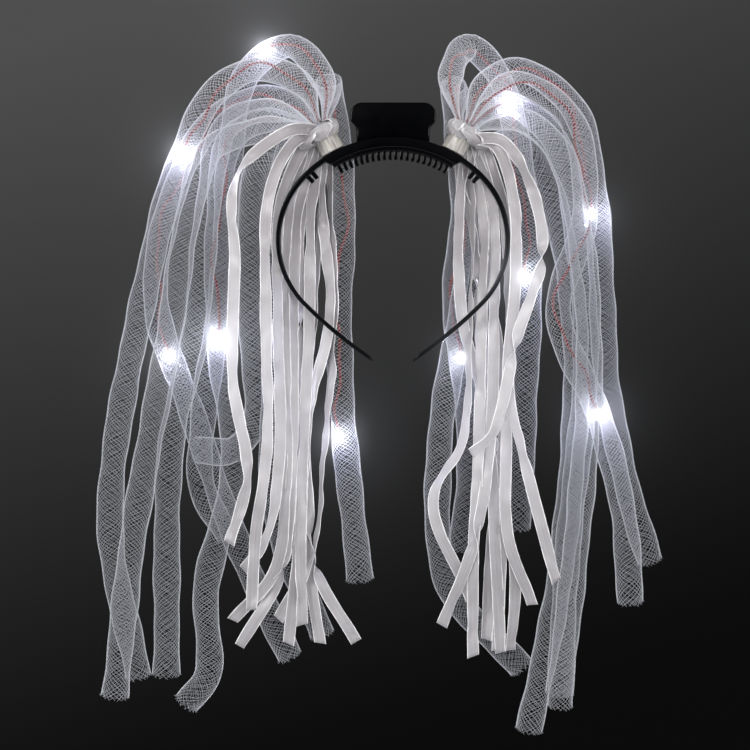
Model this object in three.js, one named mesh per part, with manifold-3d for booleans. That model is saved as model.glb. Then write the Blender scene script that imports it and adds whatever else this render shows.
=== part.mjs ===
// Light-up noodle headband: a black moulded hoop with a comb under its crown and a battery box on top,
// and two tape-wound collars that each hold a plume of mesh tubes ("noodles") and a tassel of satin ribbons.
// Thin two-colour leads run inside some of the noodles and end in small lamps.
// Millimetres, +Z up, the wearer's crown at the origin. Seen from the front, +X is right and +Y goes back.
import * as THREE from "three";
import { mergeVertices } from "three/addons/utils/BufferGeometryUtils.js";
import Module from "manifold-3d";

const wasm = await Module();
wasm.setup();

// Driving dimensions
const CLEARANCE = 0.3; // between pieces that seat on each other
const CROWN_RADIUS = 72.4; // outer face of the hoop over the head
const CROWN_TOP = 8.2; // outer face above the origin
const CROWN_CENTRE = CROWN_TOP - CROWN_RADIUS; // height of the crown's centre of curvature

const HOOP = {
  sideRadius: 52.9, // outer face beside the ears
  legRadius: 266, // nearly straight ends behind the ears
  crownEnd: 45, // degrees from the top where each stretch of the hoop ends
  sideEnd: 135,
  legEnd: 146,
  barEnd: 33, // the crown is a thick bar up to here
  barThick: 6.1,
  armThick: 3.1,
  tipThick: 2.5,
  crownDeep: 10, // front to back
  tipDeep: 4.4,
  chamfer: 0.7,
};
const PEG = { angles: [41.4, 44.3], wide: 2.5, deep: 3.2, long: 5, sunk: 0.6 };
const COMB = {
  end: 31.5, // degrees from the top
  thick: 1.8,
  deep: 9,
  teeth: 20,
  firstTooth: 29,
  rows: [-2.8, 2.8], // depth of the front and rear row
  toothWide: 2,
  toothDeep: 1.8,
  toothLong: 5.2,
  sunk: 0.5,
};
const BOX = {
  headWide: 49,
  neckWide: 41.6,
  top: 27.7,
  waist: 12.5, // height where the head has narrowed to the neck
  bulge: 18.5, // height of the widest line
  corner: 6,
  front: -3.4,
  back: 4.6,
  bevel: 0.9,
};
const COLLAR = { angle: 28, radius: 7, wall: 1.2, long: 9, sides: 14 };
const HEAD = { radius: 7.8, rise: 1.5, plug: 6.5, sides: 10 };

const NOODLE = {
  halfWide: 7.4, // flattened tube, broad side to the front
  halfDeep: 5,
  rootHalf: 1.5, // pinched where it enters the collar
  flare: 46, // length over which it opens to its full size
  wall: 1,
  rootWall: 0.6,
  sides: 6,
  stepsPerStretch: 2,
};
const LEAD = { half: 0.6, sides: 3, astray: 0.5 }; // astray: share of its length where it leaves the middle
const LAMP = { radius: 1.5, long: 5, sides: 6 };
const RIBBON = { wide: 7, rootWide: 3, thick: 1, lip: 2.8, steps: 11, knot: 4.6 };

// Each noodle springs from its collar, passes the named stations and hangs to its tip. A station is [x, z].
// spring is the depth (+Y) at the rise and lane the depth that it hangs at. lamp is where its lead ends,
// counted in stations from the collar, and aside how far the lamp then lies from the tube's middle.
// fold marks a noodle that bends over to the back.
const STATIONS = ["rise", "crest", "shoulder", "chest", "waist", "hip", "knee", "shin", "tip"];
const NOODLES = [
  {
    name: "noodle_l1", spring: -4, lane: -3, lamp: 3.87,
    rise: [-51, 37], crest: [-75, 47], shoulder: [-101, 34], chest: [-121, -5],
    waist: [-139, -70], knee: [-161, -210], tip: [-145, -298],
  },
  {
    name: "noodle_l2", spring: -9, lane: -15,
    rise: [-55, 13], crest: [-79, 10], shoulder: [-103, 0], chest: [-115, -35],
    waist: [-127, -107], knee: [-147, -220], tip: [-157, -308],
  },
  {
    name: "noodle_l3", spring: -2, lane: -3,
    rise: [-56, 20], crest: [-75, 23], shoulder: [-95, 14], chest: [-105, -30],
    waist: [-113, -107], hip: [-126, -165], tip: [-129, -297],
  },
  {
    name: "noodle_l4", spring: 6, lane: 8, lamp: 4.88,
    rise: [-55, 17], crest: [-75, 18], shoulder: [-93, 7], chest: [-100, -45], waist: [-99, -112],
    hip: [-91, -180], knee: [-107, -250], shin: [-106, -299], tip: [-118, -315],
  },
  {
    name: "noodle_l5", spring: 15, lane: 31, lamp: 5.45,
    rise: [-55, 26], crest: [-79, 33], shoulder: [-108, 16], chest: [-133, -42],
    waist: [-137, -88], hip: [-117, -148], knee: [-90, -225], tip: [-60, -290],
  },
  {
    name: "noodle_l6", spring: 15, lane: 27,
    rise: [-45, 17], crest: [-53, 15], shoulder: [-63, -8],
    waist: [-67, -96], knee: [-67, -210], tip: [-41, -277],
  },
  {
    name: "noodle_l7", spring: 12, lane: 28, lamp: 6.12, aside: -3, fold: true,
    rise: [-36, 30], crest: [-37, 43], shoulder: [-34, 26], chest: [-29, -25],
    waist: [-31, -92], hip: [-29, -150], tip: [-19, -245],
  },
  {
    name: "noodle_l8", spring: -4, lane: -3,
    rise: [-55, 5], crest: [-68, 1], shoulder: [-78, -14],
    waist: [-81, -95], hip: [-78, -152], knee: [-91, -170], tip: [-112, -170],
  },
  {
    name: "noodle_l9", spring: 4, lane: 19, lamp: 2.43, aside: 3,
    rise: [-39, 39], crest: [-59, 62], shoulder: [-84, 46], chest: [-94, -5],
    waist: [-98, -75], hip: [-109, -150], knee: [-110, -192], tip: [-95, -220],
  },
  {
    name: "noodle_r1", spring: 15, lane: 27,
    rise: [43, 17], crest: [45, 12], shoulder: [44, -10], chest: [44, -65],
    waist: [36, -110], hip: [27, -170], knee: [32, -248], tip: [74, -296],
  },
  {
    name: "noodle_r2", spring: 13, lane: 39, lamp: 5.67, fold: true,
    rise: [38, 28], crest: [35, 41], shoulder: [37, 20], chest: [41, -35],
    waist: [36, -85], hip: [42, -130], knee: [45, -185], tip: [39, -228],
  },
  {
    name: "noodle_r3", spring: 0, lane: 42, lamp: 5.13, aside: 3,
    rise: [32.5, 40], crest: [45.5, 63.5], shoulder: [62, 47], chest: [76, -10],
    waist: [80, -55], knee: [76, -165], tip: [73, -216],
  },
  {
    name: "noodle_r4", spring: 1, lane: 9,
    rise: [56, 8], crest: [71, 6], shoulder: [85, -10], chest: [99, -59],
    waist: [105, -125], knee: [96, -240], tip: [78, -330],
  },
  {
    name: "noodle_r5", spring: 12, lane: 31, lamp: 1.82,
    rise: [53, 22], crest: [68, 30], shoulder: [94, 9], chest: [107, -45],
    waist: [112, -120], knee: [101, -235], tip: [97, -319],
  },
  {
    name: "noodle_r6", spring: -4, lane: -2, lamp: 5.96,
    rise: [54, 29], crest: [71, 38], shoulder: [101, 19], chest: [109, -38],
    waist: [94, -92], hip: [117, -150], knee: [131, -205], tip: [135, -256],
  },
  {
    name: "noodle_r7", spring: 8, lane: 20, lamp: 4.04, aside: 3,
    rise: [50, 36], crest: [74, 48], shoulder: [105, 25], chest: [117, -28],
    hip: [124, -135], knee: [136, -195], tip: [148, -234],
  },
  {
    name: "noodle_r8", spring: -9, lane: -13,
    rise: [57, 15], crest: [72, 17], shoulder: [93, 0], chest: [106, -50],
    waist: [111, -120], hip: [107, -188], tip: [94, -307],
  },
];

// Each ribbon leaves its head over the collar's lip, bows and hangs at the depth of its lane to its end.
const RIBBON_STATIONS = ["bow", "drop", "upper", "middle", "lower", "end"];
const RIBBONS = {
  left: [
    {
      lane: -26, bow: [-62, 8], drop: [-88, -16], upper: [-89, -65],
      middle: [-90, -130], lower: [-82, -184], end: [-92, -222],
    },
    {
      lane: -15, bow: [-58, 2], drop: [-70, -25], upper: [-72, -90],
      middle: [-71, -165], lower: [-78, -222], end: [-80, -260],
    },
    {
      lane: 9, bow: [-52, 2], drop: [-64, -28], upper: [-66, -90],
      middle: [-65, -175], lower: [-73, -222], end: [-86, -239],
    },
    {
      lane: 10.5, bow: [-49, 0], drop: [-59, -30], upper: [-62, -95],
      middle: [-61, -185], lower: [-68, -240], end: [-92, -268],
    },
    {
      lane: 12, bow: [-46, -2], drop: [-54, -30], upper: [-57, -95],
      middle: [-58, -180], lower: [-64, -240], end: [-88, -283],
    },
    {
      lane: 13.5, bow: [-44, -5], drop: [-47, -35], upper: [-48, -95],
      middle: [-51, -165], lower: [-53, -225], end: [-52, -271],
    },
    {
      lane: 15, bow: [-41, -6], drop: [-40, -40], upper: [-36, -92],
      middle: [-48, -150], lower: [-53, -215], end: [-60, -282],
    },
    {
      lane: 16.5, bow: [-38, -6], drop: [-35, -45], upper: [-34, -105],
      middle: [-40, -175], lower: [-46, -230], end: [-66, -268],
    },
    {
      lane: 18, bow: [-47, -8], drop: [-54, -45], upper: [-53, -110],
      middle: [-49, -195], lower: [-45, -238], end: [-21, -281],
    },
    {
      lane: 19.5, bow: [-43, -8], drop: [-43, -55], upper: [-47, -115],
      middle: [-55, -170], lower: [-50, -225], end: [-42, -282],
    },
  ],
  right: [
    {
      lane: -20, bow: [62, 4], drop: [78, -22], upper: [84, -60],
      middle: [70, -105], lower: [56, -160], end: [44, -172],
    },
    {
      lane: -16, bow: [58, 2], drop: [69, -28], upper: [72, -75],
      middle: [66, -135], lower: [74, -175], end: [92, -244],
    },
    {
      lane: 9, bow: [52, 2], drop: [63, -30], upper: [66, -90],
      middle: [65, -165], lower: [66, -220], end: [80, -259],
    },
    {
      lane: 10.5, bow: [49, 0], drop: [57, -32], upper: [58, -92],
      middle: [55, -175], lower: [46, -225], end: [28, -271],
    },
    {
      lane: 12, bow: [46, -2], drop: [52, -35], upper: [51, -95],
      middle: [49, -175], lower: [46, -235], end: [46, -289],
    },
    {
      lane: 13.5, bow: [44, -5], drop: [46, -38], upper: [44, -100],
      middle: [40, -165], lower: [23, -200], end: [45, -256],
    },
    {
      lane: 15, bow: [41, -6], drop: [38, -40], upper: [40, -95],
      middle: [54, -150], lower: [59, -230], end: [62, -287],
    },
    {
      lane: 16.5, bow: [38, -6], drop: [47, -50], upper: [50, -115],
      middle: [58, -170], lower: [62, -225], end: [60, -286],
    },
    {
      lane: 18, bow: [47, -8], drop: [58, -45], upper: [56, -105],
      middle: [52, -165], lower: [70, -235], end: [68, -286],
    },
    {
      lane: 19.5, bow: [43, -8], drop: [52, -60], upper: [62, -120],
      middle: [64, -160], lower: [57, -225], end: [54, -280],
    },
  ],
};

// Materials
const finish = (color, roughness, metalness = 0) =>
  new THREE.MeshStandardMaterial({ color, roughness, metalness });
const BLACK_PLASTIC = finish(0x0b0b0c, 0.35);
const MESH_TUBE = finish(0xdcdce8, 0.55);
const SATIN = finish(0xe4e0e0, 0.4);
const TAPE = finish(0xc9c6be, 0.3);
const LEAD_COLOUR = finish(0xa83a34, 0.5);
const LAMP_COLOUR = finish(0xf6f8ff, 0.2);

// Solids and joins
const radians = THREE.MathUtils.degToRad;
const lerp = THREE.MathUtils.lerp;
const smoothstep = THREE.MathUtils.smoothstep;
const vec = (x, y, z) => new THREE.Vector3(x, y, z);

// A closed BufferGeometry from corner points and triangles of their indices.
function geometryOf(points, triangles) {
  const geometry = new THREE.BufferGeometry().setFromPoints(points);
  geometry.setIndex(triangles);
  geometry.computeVertexNormals();
  return geometry;
}

function solidOf(geometry) {
  const bare = geometry.clone();
  bare.deleteAttribute("normal");
  bare.deleteAttribute("uv");
  const merged = mergeVertices(bare, 1e-4);
  return new wasm.Manifold(
    new wasm.Mesh({
      numProp: 3,
      vertProperties: merged.attributes.position.array,
      triVerts: new Uint32Array(merged.index.array),
    }),
  );
}

// Several overlapping geometries as one.
function fuse(geometries) {
  const joined = geometries.map(solidOf).reduce((a, b) => a.add(b));
  const mesh = joined.getMesh();
  const geometry = new THREE.BufferGeometry();
  geometry.setAttribute("position", new THREE.BufferAttribute(mesh.vertProperties, 3));
  geometry.setIndex(new THREE.BufferAttribute(mesh.triVerts, 1));
  geometry.computeVertexNormals();
  return geometry;
}

// Triangles of the wall between rings of `sides` points each, starting at point `base`.
function wallTriangles(rings, sides, base, inward) {
  const triangles = [];
  for (let i = 0; i + 1 < rings; i++) {
    for (let j = 0; j < sides; j++) {
      const a = base + i * sides + j;
      const b = base + i * sides + ((j + 1) % sides);
      const quad = [a, b, b + sides, a, b + sides, a + sides];
      triangles.push(...(inward ? quad.reverse() : quad));
    }
  }
  return triangles;
}

// A solid bar through convex rings, each counter-clockwise about the way it runs.
function barThrough(rings) {
  const sides = rings[0].length;
  const last = (rings.length - 1) * sides;
  const triangles = wallTriangles(rings.length, sides, 0, false);
  for (let j = 1; j + 1 < sides; j++) {
    triangles.push(0, j + 1, j, last, last + j, last + j + 1);
  }
  return geometryOf(rings.flat(), triangles);
}

// A pipe with an outer and an inner wall, open at both ends.
function pipeThrough(outer, inner) {
  const sides = outer[0].length;
  const hollow = outer.length * sides;
  const last = (outer.length - 1) * sides;
  const triangles = [
    ...wallTriangles(outer.length, sides, 0, false),
    ...wallTriangles(inner.length, sides, hollow, true),
  ];
  for (let j = 0; j < sides; j++) {
    const k = (j + 1) % sides;
    triangles.push(k, j, hollow + j, k, hollow + j, hollow + k);
    triangles.push(last + j, last + k, hollow + last + k, last + j, hollow + last + k, hollow + last + j);
  }
  return geometryOf([...outer.flat(), ...inner.flat()], triangles);
}

// The two axes of a section: broad across the front, or across X where the route folds back.
function sectionAxes(tangent, fold) {
  const held = fold ? vec(1, 0, 0) : vec(0, 1, 0);
  const axis = held.addScaledVector(tangent, -held.dot(tangent)).normalize();
  return fold
    ? { broad: axis, narrow: tangent.clone().cross(axis) }
    : { broad: axis.clone().cross(tangent), narrow: axis };
}

// An oval ring with flats on its narrow sides.
function ovalRing(centre, axes, halfWide, halfDeep, sides) {
  const flat = halfDeep / Math.sin(Math.PI / 3);
  return Array.from({ length: sides }, (_, j) => {
    const angle = (2 * Math.PI * j) / sides;
    return centre
      .clone()
      .addScaledVector(axes.broad, halfWide * Math.cos(angle))
      .addScaledVector(axes.narrow, (sides === 6 ? flat : halfDeep) * Math.sin(angle));
  });
}

// Hoop
// The outer face at an angle from the top, and the way out of it, in the plane of the hoop.
function hoopFace(degrees) {
  const side = Math.sign(degrees) || 1;
  const arcs = [
    [CROWN_RADIUS, HOOP.crownEnd],
    [HOOP.sideRadius, HOOP.sideEnd],
    [HOOP.legRadius, HOOP.legEnd],
  ];
  const point = vec(0, 0, CROWN_TOP);
  let from = 0;
  for (const [radius, end] of arcs) {
    const to = Math.min(Math.abs(degrees), end);
    if (to > from) {
      point.x += side * radius * (Math.sin(radians(to)) - Math.sin(radians(from)));
      point.z += radius * (Math.cos(radians(to)) - Math.cos(radians(from)));
    }
    from = end;
  }
  return { point, out: vec(Math.sin(radians(degrees)), 0, Math.cos(radians(degrees))) };
}

function hoopRing(degrees, thick, deep) {
  const { point, out } = hoopFace(degrees);
  const half = deep / 2;
  const c = Math.min(HOOP.chamfer, thick / 3);
  const outline = [
    [-half + c, -thick], [half - c, -thick], [half, -thick + c], [half, -c],
    [half - c, 0], [-half + c, 0], [-half, -c], [-half, -thick + c],
  ];
  return outline.map(([y, r]) => point.clone().addScaledVector(out, r).setY(y));
}

function hoopGeometry() {
  const half = [0, 6.5, 13, 19.5, 26, HOOP.barEnd - 1, HOOP.barEnd + 0.5];
  for (let angle = 42; angle < HOOP.sideEnd; angle += 10.5) half.push(angle);
  half.push(HOOP.sideEnd, 139, 143, 145.5, HOOP.legEnd);
  const angles = [...half.slice(1).reverse().map((a) => -a), ...half];
  const rings = angles.map((degrees) => {
    const angle = Math.abs(degrees);
    const along = smoothstep(angle, HOOP.barEnd, HOOP.legEnd);
    const rounded = angle === HOOP.legEnd ? 0.55 : 1;
    const arm = lerp(HOOP.armThick, HOOP.tipThick, along) * rounded;
    const thick = angle < HOOP.barEnd ? HOOP.barThick : arm;
    return hoopRing(degrees, thick, lerp(HOOP.crownDeep, HOOP.tipDeep, along) * rounded);
  });
  const pegs = PEG.angles.flatMap((angle) =>
    [-angle, angle].map((degrees) => {
      const { point, out } = hoopFace(degrees);
      const reach = HOOP.armThick - PEG.sunk + PEG.long / 2;
      const at = point.addScaledVector(out, -reach);
      return new THREE.BoxGeometry(PEG.wide, PEG.deep, PEG.long)
        .rotateY(radians(degrees))
        .translate(at.x, at.y, at.z);
    }),
  );
  return fuse([barThrough(rings), ...pegs]);
}

// Comb
function combGeometry() {
  const outer = CROWN_RADIUS - HOOP.barThick - CLEARANCE;
  const inner = outer - COMB.thick;
  const spokes = 12;
  const rings = Array.from({ length: spokes + 1 }, (_, i) => {
    const angle = radians(lerp(-COMB.end, COMB.end, i / spokes));
    const out = vec(Math.sin(angle), 0, Math.cos(angle));
    const place = (radius, y) => out.clone().multiplyScalar(radius).add(vec(0, y, CROWN_CENTRE));
    const half = COMB.deep / 2;
    return [place(inner, -half), place(inner, half), place(outer, half), place(outer, -half)];
  });
  const teeth = COMB.rows.flatMap((y) =>
    Array.from({ length: COMB.teeth }, (_, i) => {
      const degrees = lerp(-COMB.firstTooth, COMB.firstTooth, i / (COMB.teeth - 1));
      const middle = inner + COMB.sunk - COMB.toothLong / 2;
      return new THREE.BoxGeometry(COMB.toothWide, COMB.toothDeep, COMB.toothLong)
        .translate(0, y, middle)
        .rotateY(radians(degrees))
        .translate(0, 0, CROWN_CENTRE);
    }),
  );
  return fuse([barThrough(rings), ...teeth]);
}

// Battery box
function boxGeometry() {
  const { headWide, neckWide, top, waist, bulge, corner, front, back, bevel } = BOX;
  const head = headWide / 2 - bevel;
  const neck = neckWide / 2 - bevel;
  const foot = CROWN_RADIUS + CLEARANCE + bevel;
  const footAngle = Math.asin(neck / foot);
  const outline = new THREE.Shape();
  outline.moveTo(neck, CROWN_CENTRE + foot * Math.cos(footAngle));
  outline.lineTo(neck, waist - 2);
  outline.quadraticCurveTo(neck, waist + 1, (neck + head) / 2, (waist + bulge) / 2);
  outline.quadraticCurveTo(head, bulge - 2, head, bulge);
  outline.lineTo(head, top - bevel - corner);
  outline.absarc(head - corner, top - bevel - corner, corner, 0, Math.PI / 2, false);
  outline.absarc(corner - head, top - bevel - corner, corner, Math.PI / 2, Math.PI, false);
  outline.lineTo(-head, bulge);
  outline.quadraticCurveTo(-head, bulge - 2, -(neck + head) / 2, (waist + bulge) / 2);
  outline.quadraticCurveTo(-neck, waist + 1, -neck, waist - 2);
  outline.lineTo(-neck, CROWN_CENTRE + foot * Math.cos(footAngle));
  outline.absarc(0, CROWN_CENTRE, foot, Math.PI / 2 + footAngle, Math.PI / 2 - footAngle, true);
  const geometry = new THREE.ExtrudeGeometry(outline, {
    depth: back - front - 2 * bevel,
    curveSegments: 4,
    bevelThickness: bevel,
    bevelSize: bevel,
    bevelSegments: 1,
  });
  return geometry.rotateX(Math.PI / 2).translate(0, back - bevel, 0);
}

// Collars and the heads of the ribbon tassels
// Moves a shape turned about its own Y axis to stand on the hoop at a collar's place.
function standOnHoop(geometry, side) {
  const degrees = side * COLLAR.angle;
  const { point, out } = hoopFace(degrees);
  const foot = point.addScaledVector(out, CLEARANCE);
  return geometry
    .rotateX(Math.PI / 2)
    .rotateY(radians(degrees))
    .translate(foot.x, foot.y, foot.z);
}

function collarGeometry(side) {
  const inner = COLLAR.radius - COLLAR.wall;
  const profile = [
    [inner, 0], [COLLAR.radius, 0], [COLLAR.radius, COLLAR.long], [inner, COLLAR.long], [inner, 0],
  ].map(([r, h]) => new THREE.Vector2(r, h));
  return standOnHoop(new THREE.LatheGeometry(profile, COLLAR.sides), side);
}

function headGeometry(side) {
  const plug = COLLAR.radius - COLLAR.wall - CLEARANCE;
  const rim = COLLAR.long + CLEARANCE;
  const centre = COLLAR.long + HEAD.rise;
  const profile = [
    new THREE.Vector2(0, COLLAR.long - HEAD.plug),
    new THREE.Vector2(plug, COLLAR.long - HEAD.plug),
    new THREE.Vector2(plug, rim),
  ];
  for (const degrees of [-8, 18, 42, 66]) {
    const angle = radians(degrees);
    profile.push(new THREE.Vector2(HEAD.radius * Math.cos(angle), centre + HEAD.radius * Math.sin(angle)));
  }
  profile.push(new THREE.Vector2(0, centre + HEAD.radius));
  return standOnHoop(new THREE.LatheGeometry(profile, HEAD.sides), side);
}

// The middle of a tassel head, from which noodles and ribbons spread.
function headCentre(side) {
  const { point, out } = hoopFace(side * COLLAR.angle);
  return point.addScaledVector(out, CLEARANCE + COLLAR.long + HEAD.rise);
}

// Noodles and leads
// The middle line of a noodle, starting just off the tassel head.
function noodleRoute(noodle) {
  const centre = headCentre(Math.sign(noodle.tip[0]));
  const depths = { rise: noodle.spring, crest: lerp(noodle.spring, noodle.lane, 0.85) };
  const stations = STATIONS.filter((station) => noodle[station]).map((station) => {
    const [x, z] = noodle[station];
    return vec(x, depths[station] ?? noodle.lane, z);
  });
  const way = stations[0].clone().sub(centre).normalize();
  const root = centre.addScaledVector(way, HEAD.radius + 2 * CLEARANCE);
  return new THREE.CatmullRomCurve3([root, ...stations], false, "centripetal");
}

function routeFrames(route, from, to, steps, fold) {
  const lengths = route.getLengths(400);
  return Array.from({ length: steps + 1 }, (_, i) => {
    const t = lerp(from, to, i / steps);
    const tangent = route.getTangent(t);
    return {
      centre: route.getPoint(t),
      axes: sectionAxes(tangent, fold),
      along: lengths[Math.round(t * 400)],
    };
  });
}

function noodleGeometry(noodle) {
  const route = noodleRoute(noodle);
  const steps = (route.points.length - 1) * NOODLE.stepsPerStretch;
  const frames = routeFrames(route, 0, 1, steps, noodle.fold);
  const rings = (wallAt) =>
    frames.map(({ centre, axes, along }) => {
      const open = smoothstep(along, 0, NOODLE.flare);
      const wide = lerp(NOODLE.rootHalf, NOODLE.halfWide, open) - wallAt(open);
      const deep = lerp(NOODLE.rootHalf, NOODLE.halfDeep, open) - wallAt(open);
      return ovalRing(centre, axes, wide, deep, NOODLE.sides);
    });
  return pipeThrough(
    rings(() => 0),
    rings((open) => lerp(NOODLE.rootWall, NOODLE.wall, open)),
  );
}

// A lead down its noodle as far as its lamp, leaving the tube's middle over its last part.
function leadGeometry(noodle) {
  const route = noodleRoute(noodle);
  const end = noodle.lamp / (route.points.length - 1);
  const steps = Math.ceil(noodle.lamp * NOODLE.stepsPerStretch);
  const frames = routeFrames(route, 0, end, steps, noodle.fold);
  const { half, sides, astray } = LEAD;
  const rings = frames.map(({ centre, axes }, i) => {
    const aside = (noodle.aside ?? 0) * smoothstep(i / steps, astray, 1);
    return ovalRing(centre.addScaledVector(axes.broad, aside), axes, half, half, sides);
  });
  return barThrough(rings);
}

// A domed lamp on the end of a lead. Each row of its outline is [share of its length, share of its radius].
function lampGeometry(noodle) {
  const route = noodleRoute(noodle);
  const t = noodle.lamp / (route.points.length - 1);
  const way = route.getTangent(t);
  const axes = sectionAxes(way, noodle.fold);
  const outline = [[0, 1], [0.65, 1], [0.9, 0.7], [1, 0.25]];
  const rings = outline.map(([share, size]) => {
    const centre = route.getPoint(t).addScaledVector(way, CLEARANCE + share * LAMP.long);
    centre.addScaledVector(axes.broad, noodle.aside ?? 0);
    const deep = size * LAMP.radius * Math.sin(Math.PI / 3);
    return ovalRing(centre, axes, size * LAMP.radius, deep, LAMP.sides);
  });
  return barThrough(rings);
}

// Ribbons
const ribbonStations = (ribbon) =>
  RIBBON_STATIONS.map((station) => vec(ribbon[station][0], ribbon.lane, ribbon[station][1]));

// Where a ribbon passes over the lip of its collar.
function ribbonLip(ribbon, side) {
  const centre = headCentre(side);
  const axis = hoopFace(side * COLLAR.angle).out;
  const spread = ribbonStations(ribbon)[0].sub(centre);
  spread.addScaledVector(axis, -spread.dot(axis)).normalize();
  return centre.addScaledVector(spread, COLLAR.radius + RIBBON.lip).addScaledVector(axis, 1);
}

// A flat ribbon from inside its head, out over the collar's lip, then down through its stations.
function ribbonGeometry(ribbon, side) {
  const points = [headCentre(side), ribbonLip(ribbon, side), ...ribbonStations(ribbon)];
  const route = new THREE.CatmullRomCurve3(points, false, "centripetal");
  const rings = routeFrames(route, 0, 1, RIBBON.steps, false).map(({ centre: middle, axes }, i) => {
    const half = lerp(RIBBON.rootWide, RIBBON.wide, smoothstep(i / RIBBON.steps, 0.1, 0.35)) / 2;
    const corners = [[-1, -1], [1, -1], [1, 1], [-1, 1]];
    return corners.map(([a, b]) =>
      middle
        .clone()
        .addScaledVector(axes.broad, a * half)
        .addScaledVector(axes.narrow, (b * RIBBON.thick) / 2),
    );
  });
  return barThrough(rings);
}

// The rear ribbons are bunched in a knot where they leave the head.
function knotGeometry(side, ribbons) {
  const rear = ribbons.filter((ribbon) => ribbon.lane > 0);
  const middle = hoopFace(side * COLLAR.angle).out;
  for (const ribbon of rear) middle.addScaledVector(ribbonLip(ribbon, side), 1 / rear.length);
  return new THREE.SphereGeometry(RIBBON.knot, 10, 6).translate(middle.x, middle.y, middle.z);
}

function tasselGeometry(side, ribbons) {
  const strips = ribbons.map((ribbon) => ribbonGeometry(ribbon, side));
  return fuse([headGeometry(side), knotGeometry(side, ribbons), ...strips]);
}

// Assembly
const headband = new THREE.Group();
function place(name, geometry, material) {
  const mesh = new THREE.Mesh(geometry, material);
  mesh.name = name;
  headband.add(mesh);
}

place("hoop", hoopGeometry(), BLACK_PLASTIC);
place("comb", combGeometry(), BLACK_PLASTIC);
place("battery_box", boxGeometry(), BLACK_PLASTIC);
for (const [name, side] of [["left", -1], ["right", 1]]) {
  place(`collar_${name}`, collarGeometry(side), TAPE);
  place(`ribbon_tassel_${name}`, tasselGeometry(side, RIBBONS[name]), SATIN);
}
for (const noodle of NOODLES) {
  place(noodle.name, noodleGeometry(noodle), MESH_TUBE);
  if (!noodle.lamp) continue;
  place(noodle.name.replace("noodle", "led_lead"), leadGeometry(noodle), LEAD_COLOUR);
  place(noodle.name.replace("noodle", "led_lamp"), lampGeometry(noodle), LAMP_COLOUR);
}

export default headband;
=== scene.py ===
import math

import bmesh
import bpy
import numpy as np
from mathutils import Matrix, Vector


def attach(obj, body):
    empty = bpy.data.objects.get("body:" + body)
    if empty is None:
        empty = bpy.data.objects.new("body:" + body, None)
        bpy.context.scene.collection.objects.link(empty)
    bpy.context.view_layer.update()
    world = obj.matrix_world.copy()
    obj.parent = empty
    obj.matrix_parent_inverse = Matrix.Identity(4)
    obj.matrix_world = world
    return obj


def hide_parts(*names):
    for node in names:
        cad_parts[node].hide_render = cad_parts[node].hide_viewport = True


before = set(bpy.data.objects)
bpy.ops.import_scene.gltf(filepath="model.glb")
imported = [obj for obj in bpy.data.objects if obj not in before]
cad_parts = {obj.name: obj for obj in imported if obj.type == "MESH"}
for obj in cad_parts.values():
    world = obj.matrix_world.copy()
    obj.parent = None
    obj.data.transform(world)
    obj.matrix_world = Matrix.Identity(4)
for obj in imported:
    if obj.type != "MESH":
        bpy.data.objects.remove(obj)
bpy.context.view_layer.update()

MM = 0.001
ROOT = "root"
SIDES = {"left": -1, "right": 1}

# Sizes shared with the CAD model. Angles are in degrees from the top of the hoop.
CLEARANCE = 0.3
CROWN_RADIUS = 72.4
CROWN_CENTRE = -64.2
HOOP_ARCS = [(CROWN_RADIUS, 45), (52.9, 135), (266, 146)]  # outer radius, angle where the arc ends
HOOP_END = HOOP_ARCS[-1][1]
BAR_END = 33  # where the thick crown bar steps down to an arm
BAR_THICK = 6.1
ARM_THICK = (3.1, 2.5)  # beside the bar, at the tip
HOOP_DEEP = (10, 4.4)  # front to back, at the bar and at the tip
PEG = (2.5, 3.2, 5)
PEG_ANGLES = (41.4, 44.3)
PEG_SUNK = 0.6
COMB_END = 31.5
COMB_THICK = 1.8
COMB_HALF_DEEP = 4.5
TOOTH = (2, 1.8, 5.2)
TOOTH_TAPER = 0.92
TOOTH_SUNK = 0.5
TOOTH_ROWS = (-2.8, 2.8)
TEETH = 20  # in each row
TEETH_END = 29
COLLAR_ANGLE = 28
COLLAR_RADIUS = 7
COLLAR_LONG = 9
HEAD_RISE = 1.5  # from the collar's rim to the middle of the gathered head
HEAD_RADIUS = 7.8
TUBE_HALF_WIDE = 7.4
TUBE_HALF_DEEP = 5
TUBE_ROOT_HALF = 1.5  # half width where a noodle is pinched in the gather
TUBE_FLARE = 30  # length over which it opens from there
LAMP_RADIUS = 1.5
LAMP_LONG = 5
RIBBON_HALF = 3.4

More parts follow.
